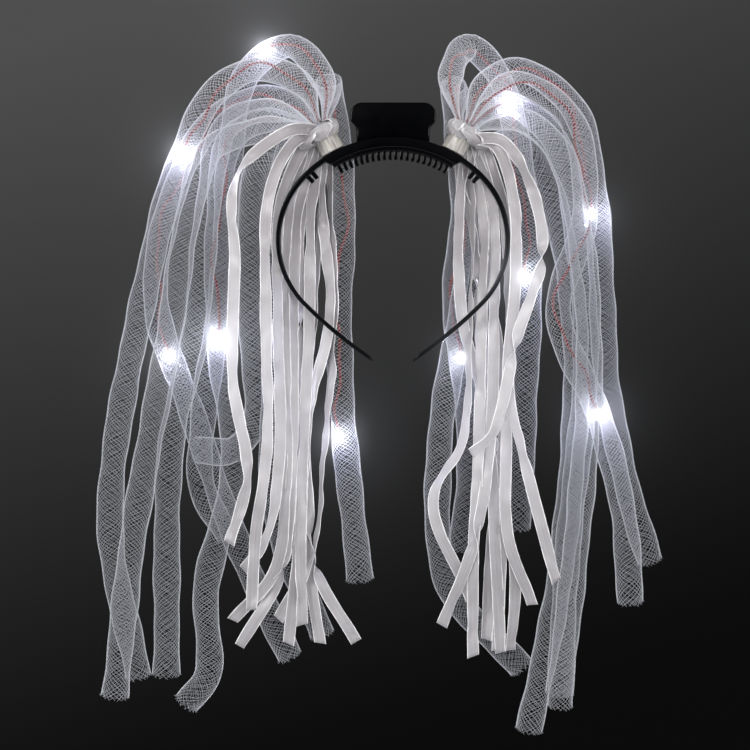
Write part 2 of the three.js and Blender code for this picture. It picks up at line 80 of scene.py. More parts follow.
# Each noodle has the depth where it springs from the collar, the depth that it hangs at and the stations
# (x, z) that it passes. lamp is where its lead ends, counted in stations from the collar, and aside how far
# the lamp then lies from the tube's middle. fold bends it over to the back.
NOODLES = {
    "l1": dict(spring=-4, lane=-3, lamp=3.87, way=[
        (-51, 37), (-75, 47), (-101, 34), (-121, -5), (-139, -70), (-161, -210), (-145, -298)]),
    "l2": dict(spring=-9, lane=-15, way=[
        (-55, 13), (-79, 10), (-103, 0), (-115, -35), (-127, -107), (-147, -220), (-157, -308)]),
    "l3": dict(spring=-2, lane=-3, way=[
        (-56, 20), (-75, 23), (-95, 14), (-105, -30), (-113, -107), (-126, -165), (-129, -297)]),
    "l4": dict(spring=6, lane=8, lamp=4.88, way=[
        (-55, 17), (-75, 18), (-93, 7), (-100, -45), (-99, -112), (-91, -180), (-107, -250), (-106, -299),
        (-118, -315)]),
    "l5": dict(spring=15, lane=31, lamp=5.45, way=[
        (-55, 26), (-79, 33), (-108, 16), (-133, -42), (-137, -88), (-117, -148), (-90, -225), (-60, -290)]),
    "l6": dict(spring=15, lane=27, way=[
        (-45, 17), (-53, 15), (-63, -8), (-67, -96), (-67, -210), (-41, -277)]),
    "l7": dict(spring=12, lane=28, lamp=6.12, aside=-3, fold=True, way=[
        (-36, 30), (-37, 43), (-34, 26), (-29, -25), (-31, -92), (-29, -150), (-19, -245)]),
    "l8": dict(spring=-4, lane=-3, way=[
        (-55, 5), (-68, 1), (-78, -14), (-81, -95), (-78, -152), (-91, -170), (-112, -170)]),
    "l9": dict(spring=4, lane=19, lamp=2.43, aside=3, way=[
        (-39, 39), (-59, 62), (-84, 46), (-94, -5), (-98, -75), (-109, -150), (-110, -192), (-95, -220)]),
    "r1": dict(spring=15, lane=27, way=[
        (43, 17), (45, 12), (44, -10), (44, -65), (36, -110), (27, -170), (32, -248), (74, -296)]),
    "r2": dict(spring=13, lane=39, lamp=5.67, fold=True, way=[
        (38, 28), (35, 41), (37, 20), (41, -35), (36, -85), (42, -130), (45, -185), (39, -228)]),
    "r3": dict(spring=0, lane=42, lamp=5.13, aside=3, way=[
        (32.5, 40), (45.5, 63.5), (62, 47), (76, -10), (80, -55), (76, -165), (73, -216)]),
    "r4": dict(spring=1, lane=9, way=[
        (56, 8), (71, 6), (85, -10), (99, -59), (105, -125), (96, -240), (78, -330)]),
    "r5": dict(spring=12, lane=31, lamp=1.82, way=[
        (53, 22), (68, 30), (94, 9), (107, -45), (112, -120), (101, -235), (97, -319)]),
    "r6": dict(spring=-4, lane=-2, lamp=5.96, way=[
        (54, 29), (71, 38), (101, 19), (109, -38), (94, -92), (117, -150), (131, -205), (135, -256)]),
    "r7": dict(spring=8, lane=20, lamp=4.04, aside=3, way=[
        (50, 36), (74, 48), (105, 25), (117, -28), (124, -135), (136, -195), (148, -234)]),
    "r8": dict(spring=-9, lane=-13, way=[
        (57, 15), (72, 17), (93, 0), (106, -50), (111, -120), (107, -188), (94, -307)]),
}

# Kinks so close together that they hold a ribbon nearly on edge for a stretch
ON_EDGE = [(z, 1.2) for z in range(-180, -235, -9)]

# Each ribbon has the depth that it hangs at, the stations (x, z) that it passes and the heights where it
# turns over. kinks are heights where it turns aside and comes back, with how far. roll is how far it hangs
# turned from the front. Both are in radians. lift is how far it rises out of the gather first, 2 where the
# row doesn't say.
RIBBONS = {
    "left": [
        dict(lane=-26, lift=6, turns=[], kinks=[(-14, 1.25), (-186, -0.9)], way=[
            (-62, 8), (-88, -16), (-89, -65), (-90, -130), (-82, -184), (-92, -222)]),
        dict(lane=-15, lift=4, turns=[], kinks=[(-118, 0.5)], way=[
            (-58, 2), (-70, -25), (-72, -90), (-71, -165), (-78, -222), (-80, -260)]),
        dict(lane=9, turns=[], kinks=[(-60, -0.6), (-215, 0.9)], roll=0.3, way=[
            (-52, 2), (-64, -28), (-66, -90), (-65, -175), (-73, -222), (-86, -239)]),
        dict(lane=10.5, turns=[], kinks=[(-150, 0.9)], roll=0.35, way=[
            (-49, 0), (-59, -30), (-62, -95), (-61, -185), (-68, -240), (-92, -268)]),
        dict(lane=12, turns=[-240], kinks=[(-40, 0.6)], way=[
            (-46, -2), (-54, -30), (-57, -95), (-58, -180), (-64, -240), (-88, -283)]),
        dict(lane=13.5, turns=[], kinks=[(-110, -0.5)], roll=0.2, way=[
            (-44, -5), (-47, -35), (-48, -95), (-51, -165), (-53, -225), (-52, -271)]),
        dict(lane=15, turns=[], kinks=[(-190, 0.9), (-52, -0.5)], roll=0.7, way=[
            (-41, -6), (-40, -40), (-36, -92), (-48, -150), (-53, -215), (-60, -282)]),
        dict(lane=16.5, turns=[], kinks=[(-110, 1.35)] + ON_EDGE, roll=0.9, way=[
            (-38, -6), (-35, -45), (-34, -105), (-40, -175), (-46, -230), (-66, -268)]),
        dict(lane=18, turns=[-95], kinks=[(-230, 0.8)], roll=0.1, way=[
            (-47, -8), (-54, -45), (-53, -110), (-49, -195), (-45, -238), (-21, -281)]),
        dict(lane=19.5, turns=[], kinks=[(-140, -0.7)], roll=1.25, way=[
            (-43, -8), (-43, -55), (-47, -115), (-55, -170), (-50, -225), (-42, -282)]),
    ],
    "right": [
        dict(lane=-20, lift=1, turns=[-62, -114], kinks=[(-14, 0.9)], way=[
            (62, 4), (78, -22), (84, -60), (70, -105), (56, -160), (44, -172)]),
        dict(lane=-16, lift=1, turns=[], kinks=[(-45, -0.5), (-170, 0.8)], roll=0.2, way=[
            (58, 2), (68, -28), (69, -75), (65, -135), (74, -175), (92, -244)]),
        dict(lane=9, turns=[], kinks=[(-100, 1.2)], roll=0.75, way=[
            (52, 2), (63, -30), (66, -90), (65, -165), (66, -220), (80, -259)]),
        dict(lane=10.5, turns=[-222], kinks=[(-70, 0.6)], way=[
            (49, 0), (57, -32), (58, -92), (55, -175), (46, -225), (28, -271)]),
        dict(lane=12, turns=[], kinks=[(-130, 0.7)], roll=0.4, way=[
            (46, -2), (52, -35), (51, -95), (49, -175), (46, -235), (46, -289)]),
        dict(lane=13.5, turns=[], kinks=[(-185, 0.9)], roll=1.15, way=[
            (44, -5), (46, -38), (44, -100), (40, -165), (23, -200), (45, -256)]),
        dict(lane=15, turns=[], kinks=[(-110, 0.5)], roll=0.55, way=[
            (41, -6), (38, -40), (40, -95), (54, -150), (59, -230), (62, -287)]),
        dict(lane=16.5, turns=[-70], kinks=[(-160, 1.1)], roll=1.05, way=[
            (38, -6), (47, -50), (50, -115), (58, -170), (62, -225), (60, -286)]),
        dict(lane=18, turns=[], kinks=[(-150, -0.8), (-225, 0.9)], way=[
            (47, -8), (58, -45), (56, -105), (52, -165), (70, -235), (68, -286)]),
        dict(lane=19.5, turns=[], kinks=[(-90, 0.6)], way=[
            (43, -8), (52, -60), (62, -120), (64, -160), (57, -225), (54, -280)]),
    ],
}


# Materials
def linear(code):
    """An sRGB hex colour as linear RGBA."""
    parts = [int(code[i:i + 2], 16) / 255 for i in (1, 3, 5)]
    return tuple(c / 12.92 if c <= 0.04045 else ((c + 0.055) / 1.055) ** 2.4 for c in parts) + (1.0,)


def add(tree, kind, values=None, links=None, **settings):
    """Adds a node, with its properties, its socket values and the outputs that its sockets take."""
    node = tree.nodes.new(kind)
    for name, value in settings.items():
        setattr(node, name, value)
    for socket, value in (values or {}).items():
        node.inputs[socket].default_value = value
    for socket, output in (links or {}).items():
        tree.links.new(output, node.inputs[socket])
    return node


def new_material(name, values):
    """A new material whose Principled shader has these values."""
    material = bpy.data.materials.new(name)
    material.use_nodes = True
    shader = material.node_tree.nodes["Principled BSDF"]
    for socket, value in values.items():
        shader.inputs[socket].default_value = value
    return material, material.node_tree, shader


def moulded_abs():
    # Injection-moulded ABS: deep black with a satin polish, faint flow marks about 9 mm long and a spark
    # grain of 0.5 mm.
    material, tree, shader = new_material("moulded_abs", {"IOR": 1.5, "Specular IOR Level": 0.2})
    where = add(tree, "ShaderNodeTexCoord").outputs["Object"]
    flow = add(tree, "ShaderNodeTexNoise", {"Scale": 1 / (9 * MM), "Detail": 3}, {"Vector": where})
    tone = add(tree, "ShaderNodeMix", {6: linear("#010101"), 7: linear("#040404")},
               {0: flow.outputs["Fac"]}, data_type="RGBA")
    polish = add(tree, "ShaderNodeMapRange", {"To Min": 0.13, "To Max": 0.22}, {"Value": flow.outputs["Fac"]})
    grain = add(tree, "ShaderNodeTexNoise", {"Scale": 1 / (0.5 * MM), "Detail": 2}, {"Vector": where})
    bump = add(tree, "ShaderNodeBump", {"Strength": 0.06, "Distance": 0.05 * MM},
               {"Height": grain.outputs["Fac"]})
    tree.links.new(tone.outputs[2], shader.inputs["Base Color"])
    tree.links.new(polish.outputs["Result"], shader.inputs["Roughness"])
    tree.links.new(bump.outputs["Normal"], shader.inputs["Normal"])
    return material


WAVE_BAND = 0.314  # length over which a wave texture of scale 1 repeats
SELVEDGE = (0.5, 0.35)  # from a ribbon's edge to where its woven rim, painted lighter as a highlight, starts and where that is full
PAINTED_LIGHT_RISES = (30, 165)  # lengths along a ribbon over which its painted shade near the gather gives way to painted light, where it comes to lie in many layers
TAIL_SHADE = (195, 265)  # lengths over which it comes to hang alone again and painted shade greys it towards the tails


def polyester_satin():
    # Woven polyester satin: warm white with a silky shine, brighter woven edges painted lighter as a
    # highlight that breaks off in places, and fine ribs across the ribbon, a sheet so slight that lamps
    # behind it shine through. Lighter streaks about 0.9 mm apart run along it. Its tone along its length is
    # painted light and shade: painted shade greys it near the gather, where the plume shades it, and towards
    # the tails, where the light falls off, and painted light makes it lighter between, where it lies in many
    # layers. The ribs are set 0.7 mm apart, coarser than the real weave, so that they show.
    material, tree, shader = new_material("polyester_satin", {
        "IOR": 1.5, "Sheen Weight": 0.2, "Sheen Roughness": 0.4, "Specular IOR Level": 0.65,
        "Subsurface Weight": 0.6, "Subsurface Radius": (1, 1, 1), "Subsurface Scale": 0.5 * MM})
    place = add(tree, "ShaderNodeUVMap", uv_map="weave").outputs["UV"]
    measure = add(tree, "ShaderNodeSeparateXYZ", links={"Vector": place})
    down = measure.outputs["Y"]
    from_middle = add(tree, "ShaderNodeMath", links={0: measure.outputs["X"]}, operation="ABSOLUTE")
    edge = add(tree, "ShaderNodeMapRange", {
        "From Min": RIBBON_HALF - SELVEDGE[0], "From Max": RIBBON_HALF - SELVEDGE[1]},
        {"Value": from_middle.outputs[0]})
    cloud = add(tree, "ShaderNodeTexNoise", {"Scale": 1 / 14, "Detail": 2}, {"Vector": place})
    # Painted light and shade along the ribbon: greyer near the gather and towards the tails, lighter between.
    painted_light_share = add(tree, "ShaderNodeMapRange", {"From Min": PAINTED_LIGHT_RISES[0], "From Max": PAINTED_LIGHT_RISES[1]},
                {"Value": down})
    shaded_near_gather = add(tree, "ShaderNodeMix", {6: linear("#827e80"), 7: linear("#989496")},
               {0: cloud.outputs["Fac"]}, data_type="RGBA")
    full = add(tree, "ShaderNodeMix", {6: linear("#a4a1a4"), 7: linear("#b9b7ba")},
               {0: cloud.outputs["Fac"]}, data_type="RGBA")
    painted_light_tone = add(tree, "ShaderNodeMix", links={
        0: painted_light_share.outputs["Result"], 6: shaded_near_gather.outputs[2], 7: full.outputs[2]}, data_type="RGBA")
    tail_shade_share = add(tree, "ShaderNodeMapRange", {"From Min": TAIL_SHADE[0], "From Max": TAIL_SHADE[1]}, {"Value": down})
    shaded_tail = add(tree, "ShaderNodeMix", {6: linear("#827f82"), 7: linear("#969497")},
               {0: cloud.outputs["Fac"]}, data_type="RGBA")
    body = add(tree, "ShaderNodeMix", links={
        0: tail_shade_share.outputs["Result"], 6: painted_light_tone.outputs[2], 7: shaded_tail.outputs[2]}, data_type="RGBA")
    remapped = add(tree, "ShaderNodeMapping", {"Scale": (1, 0.02, 1)}, {"Vector": place})
    streak_noise = add(tree, "ShaderNodeTexNoise", {"Scale": 1 / 0.9, "Detail": 2},
               {"Vector": remapped.outputs["Vector"]})
    pull = add(tree, "ShaderNodeMapRange", {"From Min": 0.35, "From Max": 0.65, "To Min": 0, "To Max": 0.16},
               {"Value": streak_noise.outputs["Fac"]})
    streaked = add(tree, "ShaderNodeMix", {7: linear("#c9c6c8")},
                   {0: pull.outputs["Result"], 6: body.outputs[2]}, data_type="RGBA")
    # The lighter woven edges are a painted highlight, broken off in places by noise.
    glint_breaks = add(tree, "ShaderNodeTexNoise", {"Scale": 1 / 5, "Detail": 3}, {"Vector": place})
    glint_share = add(tree, "ShaderNodeMapRange", {"From Min": 0.4, "From Max": 0.6, "To Min": 0.45},
                 {"Value": glint_breaks.outputs["Fac"]})
    edge_glint = add(tree, "ShaderNodeMath", links={0: edge.outputs["Result"], 1: glint_share.outputs["Result"]},
                   operation="MULTIPLY")
    tone = add(tree, "ShaderNodeMix", {7: linear("#e4e2e4")},
               {0: edge_glint.outputs[0], 6: streaked.outputs[2]}, data_type="RGBA")
    ribs = add(tree, "ShaderNodeTexWave", {"Scale": WAVE_BAND / 0.7, "Distortion": 0.6, "Detail Scale": 0.4},
               {"Vector": place}, bands_direction="Y")
    shine = add(tree, "ShaderNodeMapRange", {"To Min": 0.3, "To Max": 0.42}, {"Value": cloud.outputs["Fac"]})
    bump = add(tree, "ShaderNodeBump", {"Strength": 0.25, "Distance": 0.06 * MM},
               {"Height": ribs.outputs["Fac"]})
    tree.links.new(tone.outputs[2], shader.inputs["Base Color"])
    tree.links.new(shine.outputs["Result"], shader.inputs["Roughness"])
    tree.links.new(bump.outputs["Normal"], shader.inputs["Normal"])
    return material


PAINTED_LIGHT_HEIGHTS = (-70, 30)  # heights between which the braid is painted lighter upwards, painted light from the lamps and from above


def nylon_filament(name, low, high):
    # Nylon monofilament, braided into an open tube: cool milky white threads with a small wet glint. A
    # lighter copy, taken by the threads near the collar, where they lie close, and by the creased edges of
    # the tube, is painted light: the lamps' light near the top and a painted highlight along the edges. The
    # braid is also painted lighter upwards towards the arches, painted light from the lamps and from above.
    material, tree, shader = new_material(name, {"IOR": 1.53, "Specular IOR Level": 0.7})
    where = add(tree, "ShaderNodeTexCoord").outputs["Object"]
    milk = add(tree, "ShaderNodeTexNoise", {"Scale": 1 / (22 * MM), "Detail": 2}, {"Vector": where})
    tone = add(tree, "ShaderNodeMix", {6: linear(low), 7: linear(high)},
               {0: milk.outputs["Fac"]}, data_type="RGBA")
    # Painted light: the braid is painted lighter towards the arches.
    height = add(tree, "ShaderNodeSeparateXYZ", links={"Vector": where}).outputs["Z"]
    remapped = add(tree, "ShaderNodeMapRange", {
        "From Min": PAINTED_LIGHT_HEIGHTS[0] * MM, "From Max": PAINTED_LIGHT_HEIGHTS[1] * MM, "To Max": 0.4}, {"Value": height})
    white = add(tree, "ShaderNodeMix", {7: linear("#d4d4dc")},
                {0: remapped.outputs["Result"], 6: tone.outputs[2]}, data_type="RGBA")
    glint = add(tree, "ShaderNodeMapRange", {"To Min": 0.25, "To Max": 0.45}, {"Value": milk.outputs["Fac"]})
    tree.links.new(white.outputs[2], shader.inputs["Base Color"])
    tree.links.new(glint.outputs["Result"], shader.inputs["Roughness"])
    return material


def wire_pvc(name, low, high):
    # Extruded PVC insulation: saturated colour, slightly waxy, a little uneven along the wire.
    material, tree, shader = new_material(name, {"IOR": 1.53, "Specular IOR Level": 0.2})
    where = add(tree, "ShaderNodeTexCoord").outputs["Object"]
    uneven = add(tree, "ShaderNodeTexNoise", {"Scale": 1 / (3 * MM), "Detail": 2}, {"Vector": where})
    tone = add(tree, "ShaderNodeMix", {6: linear(low), 7: linear(high)},
               {0: uneven.outputs["Fac"]}, data_type="RGBA")
    wax = add(tree, "ShaderNodeMapRange", {"To Min": 0.35, "To Max": 0.5}, {"Value": uneven.outputs["Fac"]})
    tree.links.new(tone.outputs[2], shader.inputs["Base Color"])
    tree.links.new(wax.outputs["Result"], shader.inputs["Roughness"])
    return material


def wound_tape():
    # Glossy beige-silver polypropylene tape, gathered tight: bright and dull streaks about 1.6 mm apart,
    # painted reflections that run along the collar, and small wrinkles.
    material, tree, shader = new_material("wound_tape", {
        "IOR": 1.49, "Coat Weight": 0.35, "Coat Roughness": 0.25})
    place = add(tree, "ShaderNodeUVMap", uv_map="wrap").outputs["UV"]
    remapped = add(tree, "ShaderNodeMapping", {"Scale": (1, 0.07, 1)}, {"Vector": place})
    # Painted reflections: bright and dull streaks along the collar.
    painted_reflection = add(tree, "ShaderNodeTexNoise", {"Scale": 1 / 1.6, "Detail": 3},
                 {"Vector": remapped.outputs["Vector"]})
    share = add(tree, "ShaderNodeMapRange", {"From Min": 0.36, "From Max": 0.66},
                {"Value": painted_reflection.outputs["Fac"]})
    wrinkle = add(tree, "ShaderNodeTexNoise", {"Scale": 1 / 2.2, "Detail": 4}, {"Vector": place})
    tone = add(tree, "ShaderNodeMix", {6: linear("#6f6b66"), 7: linear("#b4b0aa")},
               {0: share.outputs["Result"]}, data_type="RGBA")
    gloss = add(tree, "ShaderNodeMapRange", {"To Min": 0.3, "To Max": 0.45},
                {"Value": wrinkle.outputs["Fac"]})
    bump = add(tree, "ShaderNodeBump", {"Strength": 0.12, "Distance": 0.1 * MM},
               {"Height": wrinkle.outputs["Fac"]})
    tree.links.new(tone.outputs[2], shader.inputs["Base Color"])
    tree.links.new(gloss.outputs["Result"], shader.inputs["Roughness"])
    tree.links.new(bump.outputs["Normal"], shader.inputs["Normal"])
    return material


def lit_epoxy():
    # Clear epoxy lamp dome, lit from inside: glaring cool white with a faint unevenness.
    material, tree, shader = new_material("lit_epoxy", {
        "Base Color": linear("#f4f8ff"), "IOR": 1.54, "Roughness": 0.12, "Emission Strength": 165})
    where = add(tree, "ShaderNodeTexCoord").outputs["Object"]
    haze = add(tree, "ShaderNodeTexNoise", {"Scale": 1 / (1.5 * MM), "Detail": 1}, {"Vector": where})
    glow = add(tree, "ShaderNodeMix", {6: linear("#dfe8ff"), 7: linear("#ffffff")},
               {0: haze.outputs["Fac"]}, data_type="RGBA")
    tree.links.new(glow.outputs[2], shader.inputs["Emission Color"])
    return material


def matt_floor():
    # Matt painted board: pale grey with a faint cloudiness about a third of a metre across.
    material, tree, shader = new_material("matt_floor", {"Roughness": 0.9})
    where = add(tree, "ShaderNodeTexCoord").outputs["Object"]
    cloud = add(tree, "ShaderNodeTexNoise", {"Scale": 3.0, "Detail": 2}, {"Vector": where})
    tone = add(tree, "ShaderNodeMix", {6: linear("#c9c9cb"), 7: linear("#d2d2d4")},
               {0: cloud.outputs["Fac"]}, data_type="RGBA")
    tree.links.new(tone.outputs[2], shader.inputs["Base Color"])
    return material


BLACK = moulded_abs()
SATIN = polyester_satin()
FILAMENT = nylon_filament("nylon_filament", "#8d8f94", "#a0a2a8")
# A lighter copy of the filament: painted light near the collar and a painted highlight along the creases.
LIT_FILAMENT = nylon_filament("nylon_filament_painted_light", "#c2c4ca", "#d6d8de")
RED_WIRE = wire_pvc("red_wire_pvc", "#640105", "#840309")
WHITE_WIRE = wire_pvc("white_wire_pvc", "#a8a29a", "#c4beb4")
TAPE = wound_tape()
LAMP = lit_epoxy()


# Pieces
def settle(obj, nodes):
    """Sets a finished piece in the scene, on the one body, in place of the CAD nodes that it stands for."""
    bpy.context.scene.collection.objects.link(obj)
    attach(obj, ROOT)
    if nodes:
        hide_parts(*nodes)
    return obj


def piece_from(bm, name, material, nodes=(), sharp=40):
    """A piece from a bmesh in millimetres."""
    bmesh.ops.scale(bm, vec=(MM, MM, MM), verts=bm.verts)
    mesh = bpy.data.meshes.new(name)
    bm.to_mesh(mesh)
    bm.free()
    mesh.materials.append(material)
    mesh.shade_smooth()
    mesh.set_sharp_from_angle(angle=math.radians(sharp))
    return settle(bpy.data.objects.new(name, mesh), nodes)


def piece_from_strands(name, bundles, materials, nodes=()):
    """A piece from bundles of round strands in millimetres, which no operator makes quickly in such numbers.

    A bundle is (points, normals, radius, sides, material index). Points and normals are arrays of (strands,
    samples, 3), the radius may vary along the samples, and the index by strand and stretch.
    """
    corners, faces, kinds = [], [], []
    base = 0
    for points, normals, radius, sides, kind in bundles:
        way = np.gradient(points, axis=1)
        way /= np.linalg.norm(way, axis=2, keepdims=True)
        aside = np.cross(way, normals)
        aside /= np.linalg.norm(aside, axis=2, keepdims=True)
        out = np.cross(aside, way)
        turn = np.arange(sides) * 2 * math.pi / sides
        spoke = np.cos(turn)[:, None] * out[:, :, None, :] + np.sin(turn)[:, None] * aside[:, :, None, :]
        ring = points[:, :, None, :] + np.reshape(radius, (1, -1, 1, 1)) * spoke
        strands, samples = points.shape[:2]
        index = base + np.arange(strands * samples * sides).reshape(strands, samples, sides)
        after = np.roll(index, -1, axis=2)
        quads = np.stack([index[:, :-1], after[:, :-1], after[:, 1:], index[:, 1:]], axis=-1)
        corners.append(ring.reshape(-1, 3))
        faces.append(quads.reshape(-1, 4))
        kinds.append(np.broadcast_to(np.atleast_2d(kind)[:, :, None], quads.shape[:3]).ravel())
        base += ring.size // 3
    corners, faces, kinds = np.concatenate(corners), np.concatenate(faces), np.concatenate(kinds)
    mesh = bpy.data.meshes.new(name)
    mesh.vertices.add(len(corners))
    mesh.vertices.foreach_set("co", (corners * MM).ravel())
    mesh.loops.add(faces.size)
    mesh.loops.foreach_set("vertex_index", faces.ravel().astype(np.int32))
    mesh.polygons.add(len(faces))
    mesh.polygons.foreach_set("loop_start", np.arange(0, faces.size, 4, dtype=np.int32))
    for material in materials:
        mesh.materials.append(material)
    mesh.polygons.foreach_set("material_index", kinds.astype(np.int32))
    mesh.update(calc_edges=True)
    mesh.shade_smooth()
    return settle(bpy.data.objects.new(name, mesh), nodes)


def loft(bm, rings):
    """Skins rings of points, one after another, and closes both ends."""
    loops = []
    for ring in rings:
        corners = [bm.verts.new(point) for point in ring]
        loops.append([bm.edges.new((corners[i - 1], corners[i])) for i in range(len(corners))])
    for here, there in zip(loops, loops[1:]):
        bmesh.ops.bridge_loops(bm, edges=here + there)
    for end in (loops[0], loops[-1]):
        bmesh.ops.contextual_create(bm, geom=end)
    bmesh.ops.recalc_face_normals(bm, faces=bm.faces)


def lathe(profile, steps, closed=False):
    """A bmesh spun about the upright axis from a chain of (radius, height) corners."""
    bm = bmesh.new()
    corners = [bm.verts.new((radius, 0, height)) for radius, height in profile]
    after = corners[1:] + corners[:1] if closed else corners[1:]
    edges = [bm.edges.new(pair) for pair in zip(corners, after)]
    bmesh.ops.spin(bm, geom=corners + edges, cent=(0, 0, 0), axis=(0, 0, 1), angle=2 * math.pi, steps=steps,
                   use_merge=True)
    bmesh.ops.remove_doubles(bm, verts=bm.verts, dist=1e-4)
    bmesh.ops.recalc_face_normals(bm, faces=bm.faces)
    return bm


def smooth_share(value, low, high):
    """How far a value has come from low to high, easing in and out."""
    share = np.clip((np.asarray(value, float) - low) / (high - low), 0, 1)
    return share * share * (3 - 2 * share)


def waves(along, rows, shifts):
    """Sine waves along a length, each (size, wavelength), added up."""
    return sum(size * np.sin(2 * math.pi * along / length + shift)
               for (size, length), shift in zip(rows, shifts))


# Camera: straight at the front, as far below the crown as the picture's middle is
CAMERA_AWAY = 1.7
PICTURE_MIDDLE = (-10.26, -127.4)
camera_data = bpy.data.cameras.new("front_camera")
camera_data.sensor_width = 36
camera_data.lens = 143.2  # which makes a pixel of the front view 0.57 mm at the hoop
camera = bpy.data.objects.new("front_camera", camera_data)
camera.location = (PICTURE_MIDDLE[0] * MM, -CAMERA_AWAY, PICTURE_MIDDLE[1] * MM)
camera.rotation_euler = (math.pi / 2, 0, 0)
bpy.context.scene.collection.objects.link(camera)
bpy.context.scene.camera = camera
bpy.context.scene.view_settings.view_transform = "Standard"


# Hoop
def hoop_face(degrees):
    """The hoop's outer face at an angle from the top, and the way out of it."""
    side = -1 if degrees < 0 else 1
    x, z, start = 0.0, CROWN_RADIUS + CROWN_CENTRE, 0
    for radius, end in HOOP_ARCS:
        to = min(abs(degrees), end)
        if to > start:
            x += side * radius * (math.sin(math.radians(to)) - math.sin(math.radians(start)))
            z += radius * (math.cos(math.radians(to)) - math.cos(math.radians(start)))
        start = end
    angle = math.radians(degrees)
    return Vector((x, 0, z)), Vector((math.sin(angle), 0, math.cos(angle)))


def rounded_section(half_wide, thick, corner, steps=4):
    """A rounded rectangle as (depth, height below the outer face) pairs."""
    middles = [(half_wide - corner, -corner, 0), (corner - half_wide, -corner, 90),
               (corner - half_wide, corner - thick, 180), (half_wide - corner, corner - thick, 270)]
    outline = []
    for y, r, start in middles:
        for step in range(steps + 1):
            angle = math.radians(start + 90 * step / steps)
            outline.append((y + corner * math.cos(angle), r + corner * math.sin(angle)))
    return outline


HOOP_RING = 1.5  # degrees between the hoop's sections
STEP_RINGS = (32, 32.5, BAR_END, 33.4, 33.9, 34.5)  # angles of closer ones where the bar steps down
BENT_ARM = (36, 135)  # angles between which the arm has sections as far apart as on the bar
TIP_RING = 0.8  # degrees between those on the straighter end
TIP_SHARES = {145.8: 0.8, HOOP_END: 0.5}  # the last angles, with the share of its size that the tip has left
BAR_STEP = (1.2, 0.9)  # degrees before and after the bar's end within which it thins
HOOP_CORNER = 0.9
HOOP_CORNER_SHARE = 0.42  # of the thickness, which the corners' radius doesn't pass
PEG_CORNER = 0.6
COMB_CORNER = 0.5
TOOTH_CORNER = 0.35


def hoop():
    """The thick crown bar, the two arms that it steps down to, and the pegs inside them."""
    half = [*np.arange(0, BAR_END - HOOP_RING, HOOP_RING), *STEP_RINGS, *np.arange(*BENT_ARM, HOOP_RING)]
    half += [*np.arange(BENT_ARM[1], min(TIP_SHARES), TIP_RING), *TIP_SHARES]
    rings = []
    for degrees in [-a for a in half[:0:-1]] + half:
        angle = abs(degrees)
        along = float(smooth_share(angle, BAR_END, HOOP_END))
        tip = TIP_SHARES.get(angle, 1)
        arm = (ARM_THICK[0] + (ARM_THICK[1] - ARM_THICK[0]) * along) * tip
        stepped = float(smooth_share(angle, BAR_END - BAR_STEP[0], BAR_END + BAR_STEP[1]))
        thick = BAR_THICK + (arm - BAR_THICK) * stepped
        deep = (HOOP_DEEP[0] + (HOOP_DEEP[1] - HOOP_DEEP[0]) * along) * tip
        point, out = hoop_face(degrees)
        section = rounded_section(deep / 2, thick, min(HOOP_CORNER, HOOP_CORNER_SHARE * thick))
        rings.append([point + out * r + Vector((0, y, 0)) for y, r in section])
    bm = bmesh.new()
    loft(bm, rings)
    for angle in PEG_ANGLES:
        for side in SIDES.values():
            point, out = hoop_face(side * angle)
            middle = point - out * (ARM_THICK[0] - PEG_SUNK + PEG[2] / 2)
            add_block(bm, PEG, PEG_CORNER, side * angle, middle)
    return piece_from(bm, "hoop_moulding", BLACK, ["hoop"])


def add_block(bm, size, corner, degrees, middle, taper=1.0):
    """A small rounded block, tilted about the depth axis. taper narrows its lower end."""
    made = bmesh.ops.create_cube(bm, size=1)["verts"]
    bmesh.ops.scale(bm, vec=size, verts=made)
    for corner_point in made:
        if corner_point.co.z < 0:
            corner_point.co.x *= taper
            corner_point.co.y *= taper
    edges = list(dict.fromkeys(edge for corner_point in made for edge in corner_point.link_edges))
    made = bmesh.ops.bevel(bm, geom=edges, offset=corner, offset_type="OFFSET", segments=2, profile=0.5,
                           affect="EDGES", material=-1)["faces"]
    whole = list(dict.fromkeys(corner_point for face in made for corner_point in face.verts))
    tilt = Matrix.Rotation(math.radians(degrees), 4, "Y")
    bmesh.ops.transform(bm, matrix=Matrix.Translation(middle) @ tilt, verts=whole)


def comb():
    """The strip under the crown bar with its two rows of teeth."""
    outer = CROWN_RADIUS - BAR_THICK - CLEARANCE
    reach = outer - COMB_THICK + TOOTH_SUNK - TOOTH[2] / 2
    section = rounded_section(COMB_HALF_DEEP, COMB_THICK, COMB_CORNER, steps=3)
    crown = Vector((0, 0, CROWN_CENTRE))
    bm = bmesh.new()
    rings = []
    for angle in np.radians(np.linspace(-COMB_END, COMB_END, 43)):
        out = Vector((math.sin(angle), 0, math.cos(angle)))
        rings.append([crown + out * (outer + r) + Vector((0, y, 0)) for y, r in section])
    loft(bm, rings)
    for y in TOOTH_ROWS:
        for degrees in np.linspace(-TEETH_END, TEETH_END, TEETH):
            angle = math.radians(degrees)
            middle = crown + Vector((math.sin(angle) * reach, y, math.cos(angle) * reach))
            add_block(bm, TOOTH, TOOTH_CORNER, degrees, middle, TOOTH_TAPER)
    return piece_from(bm, "comb_moulding", BLACK, ["comb"])


BOX_FRONT = -3.4
BOX_DEEP = 8
BOX_RIM = 0.9


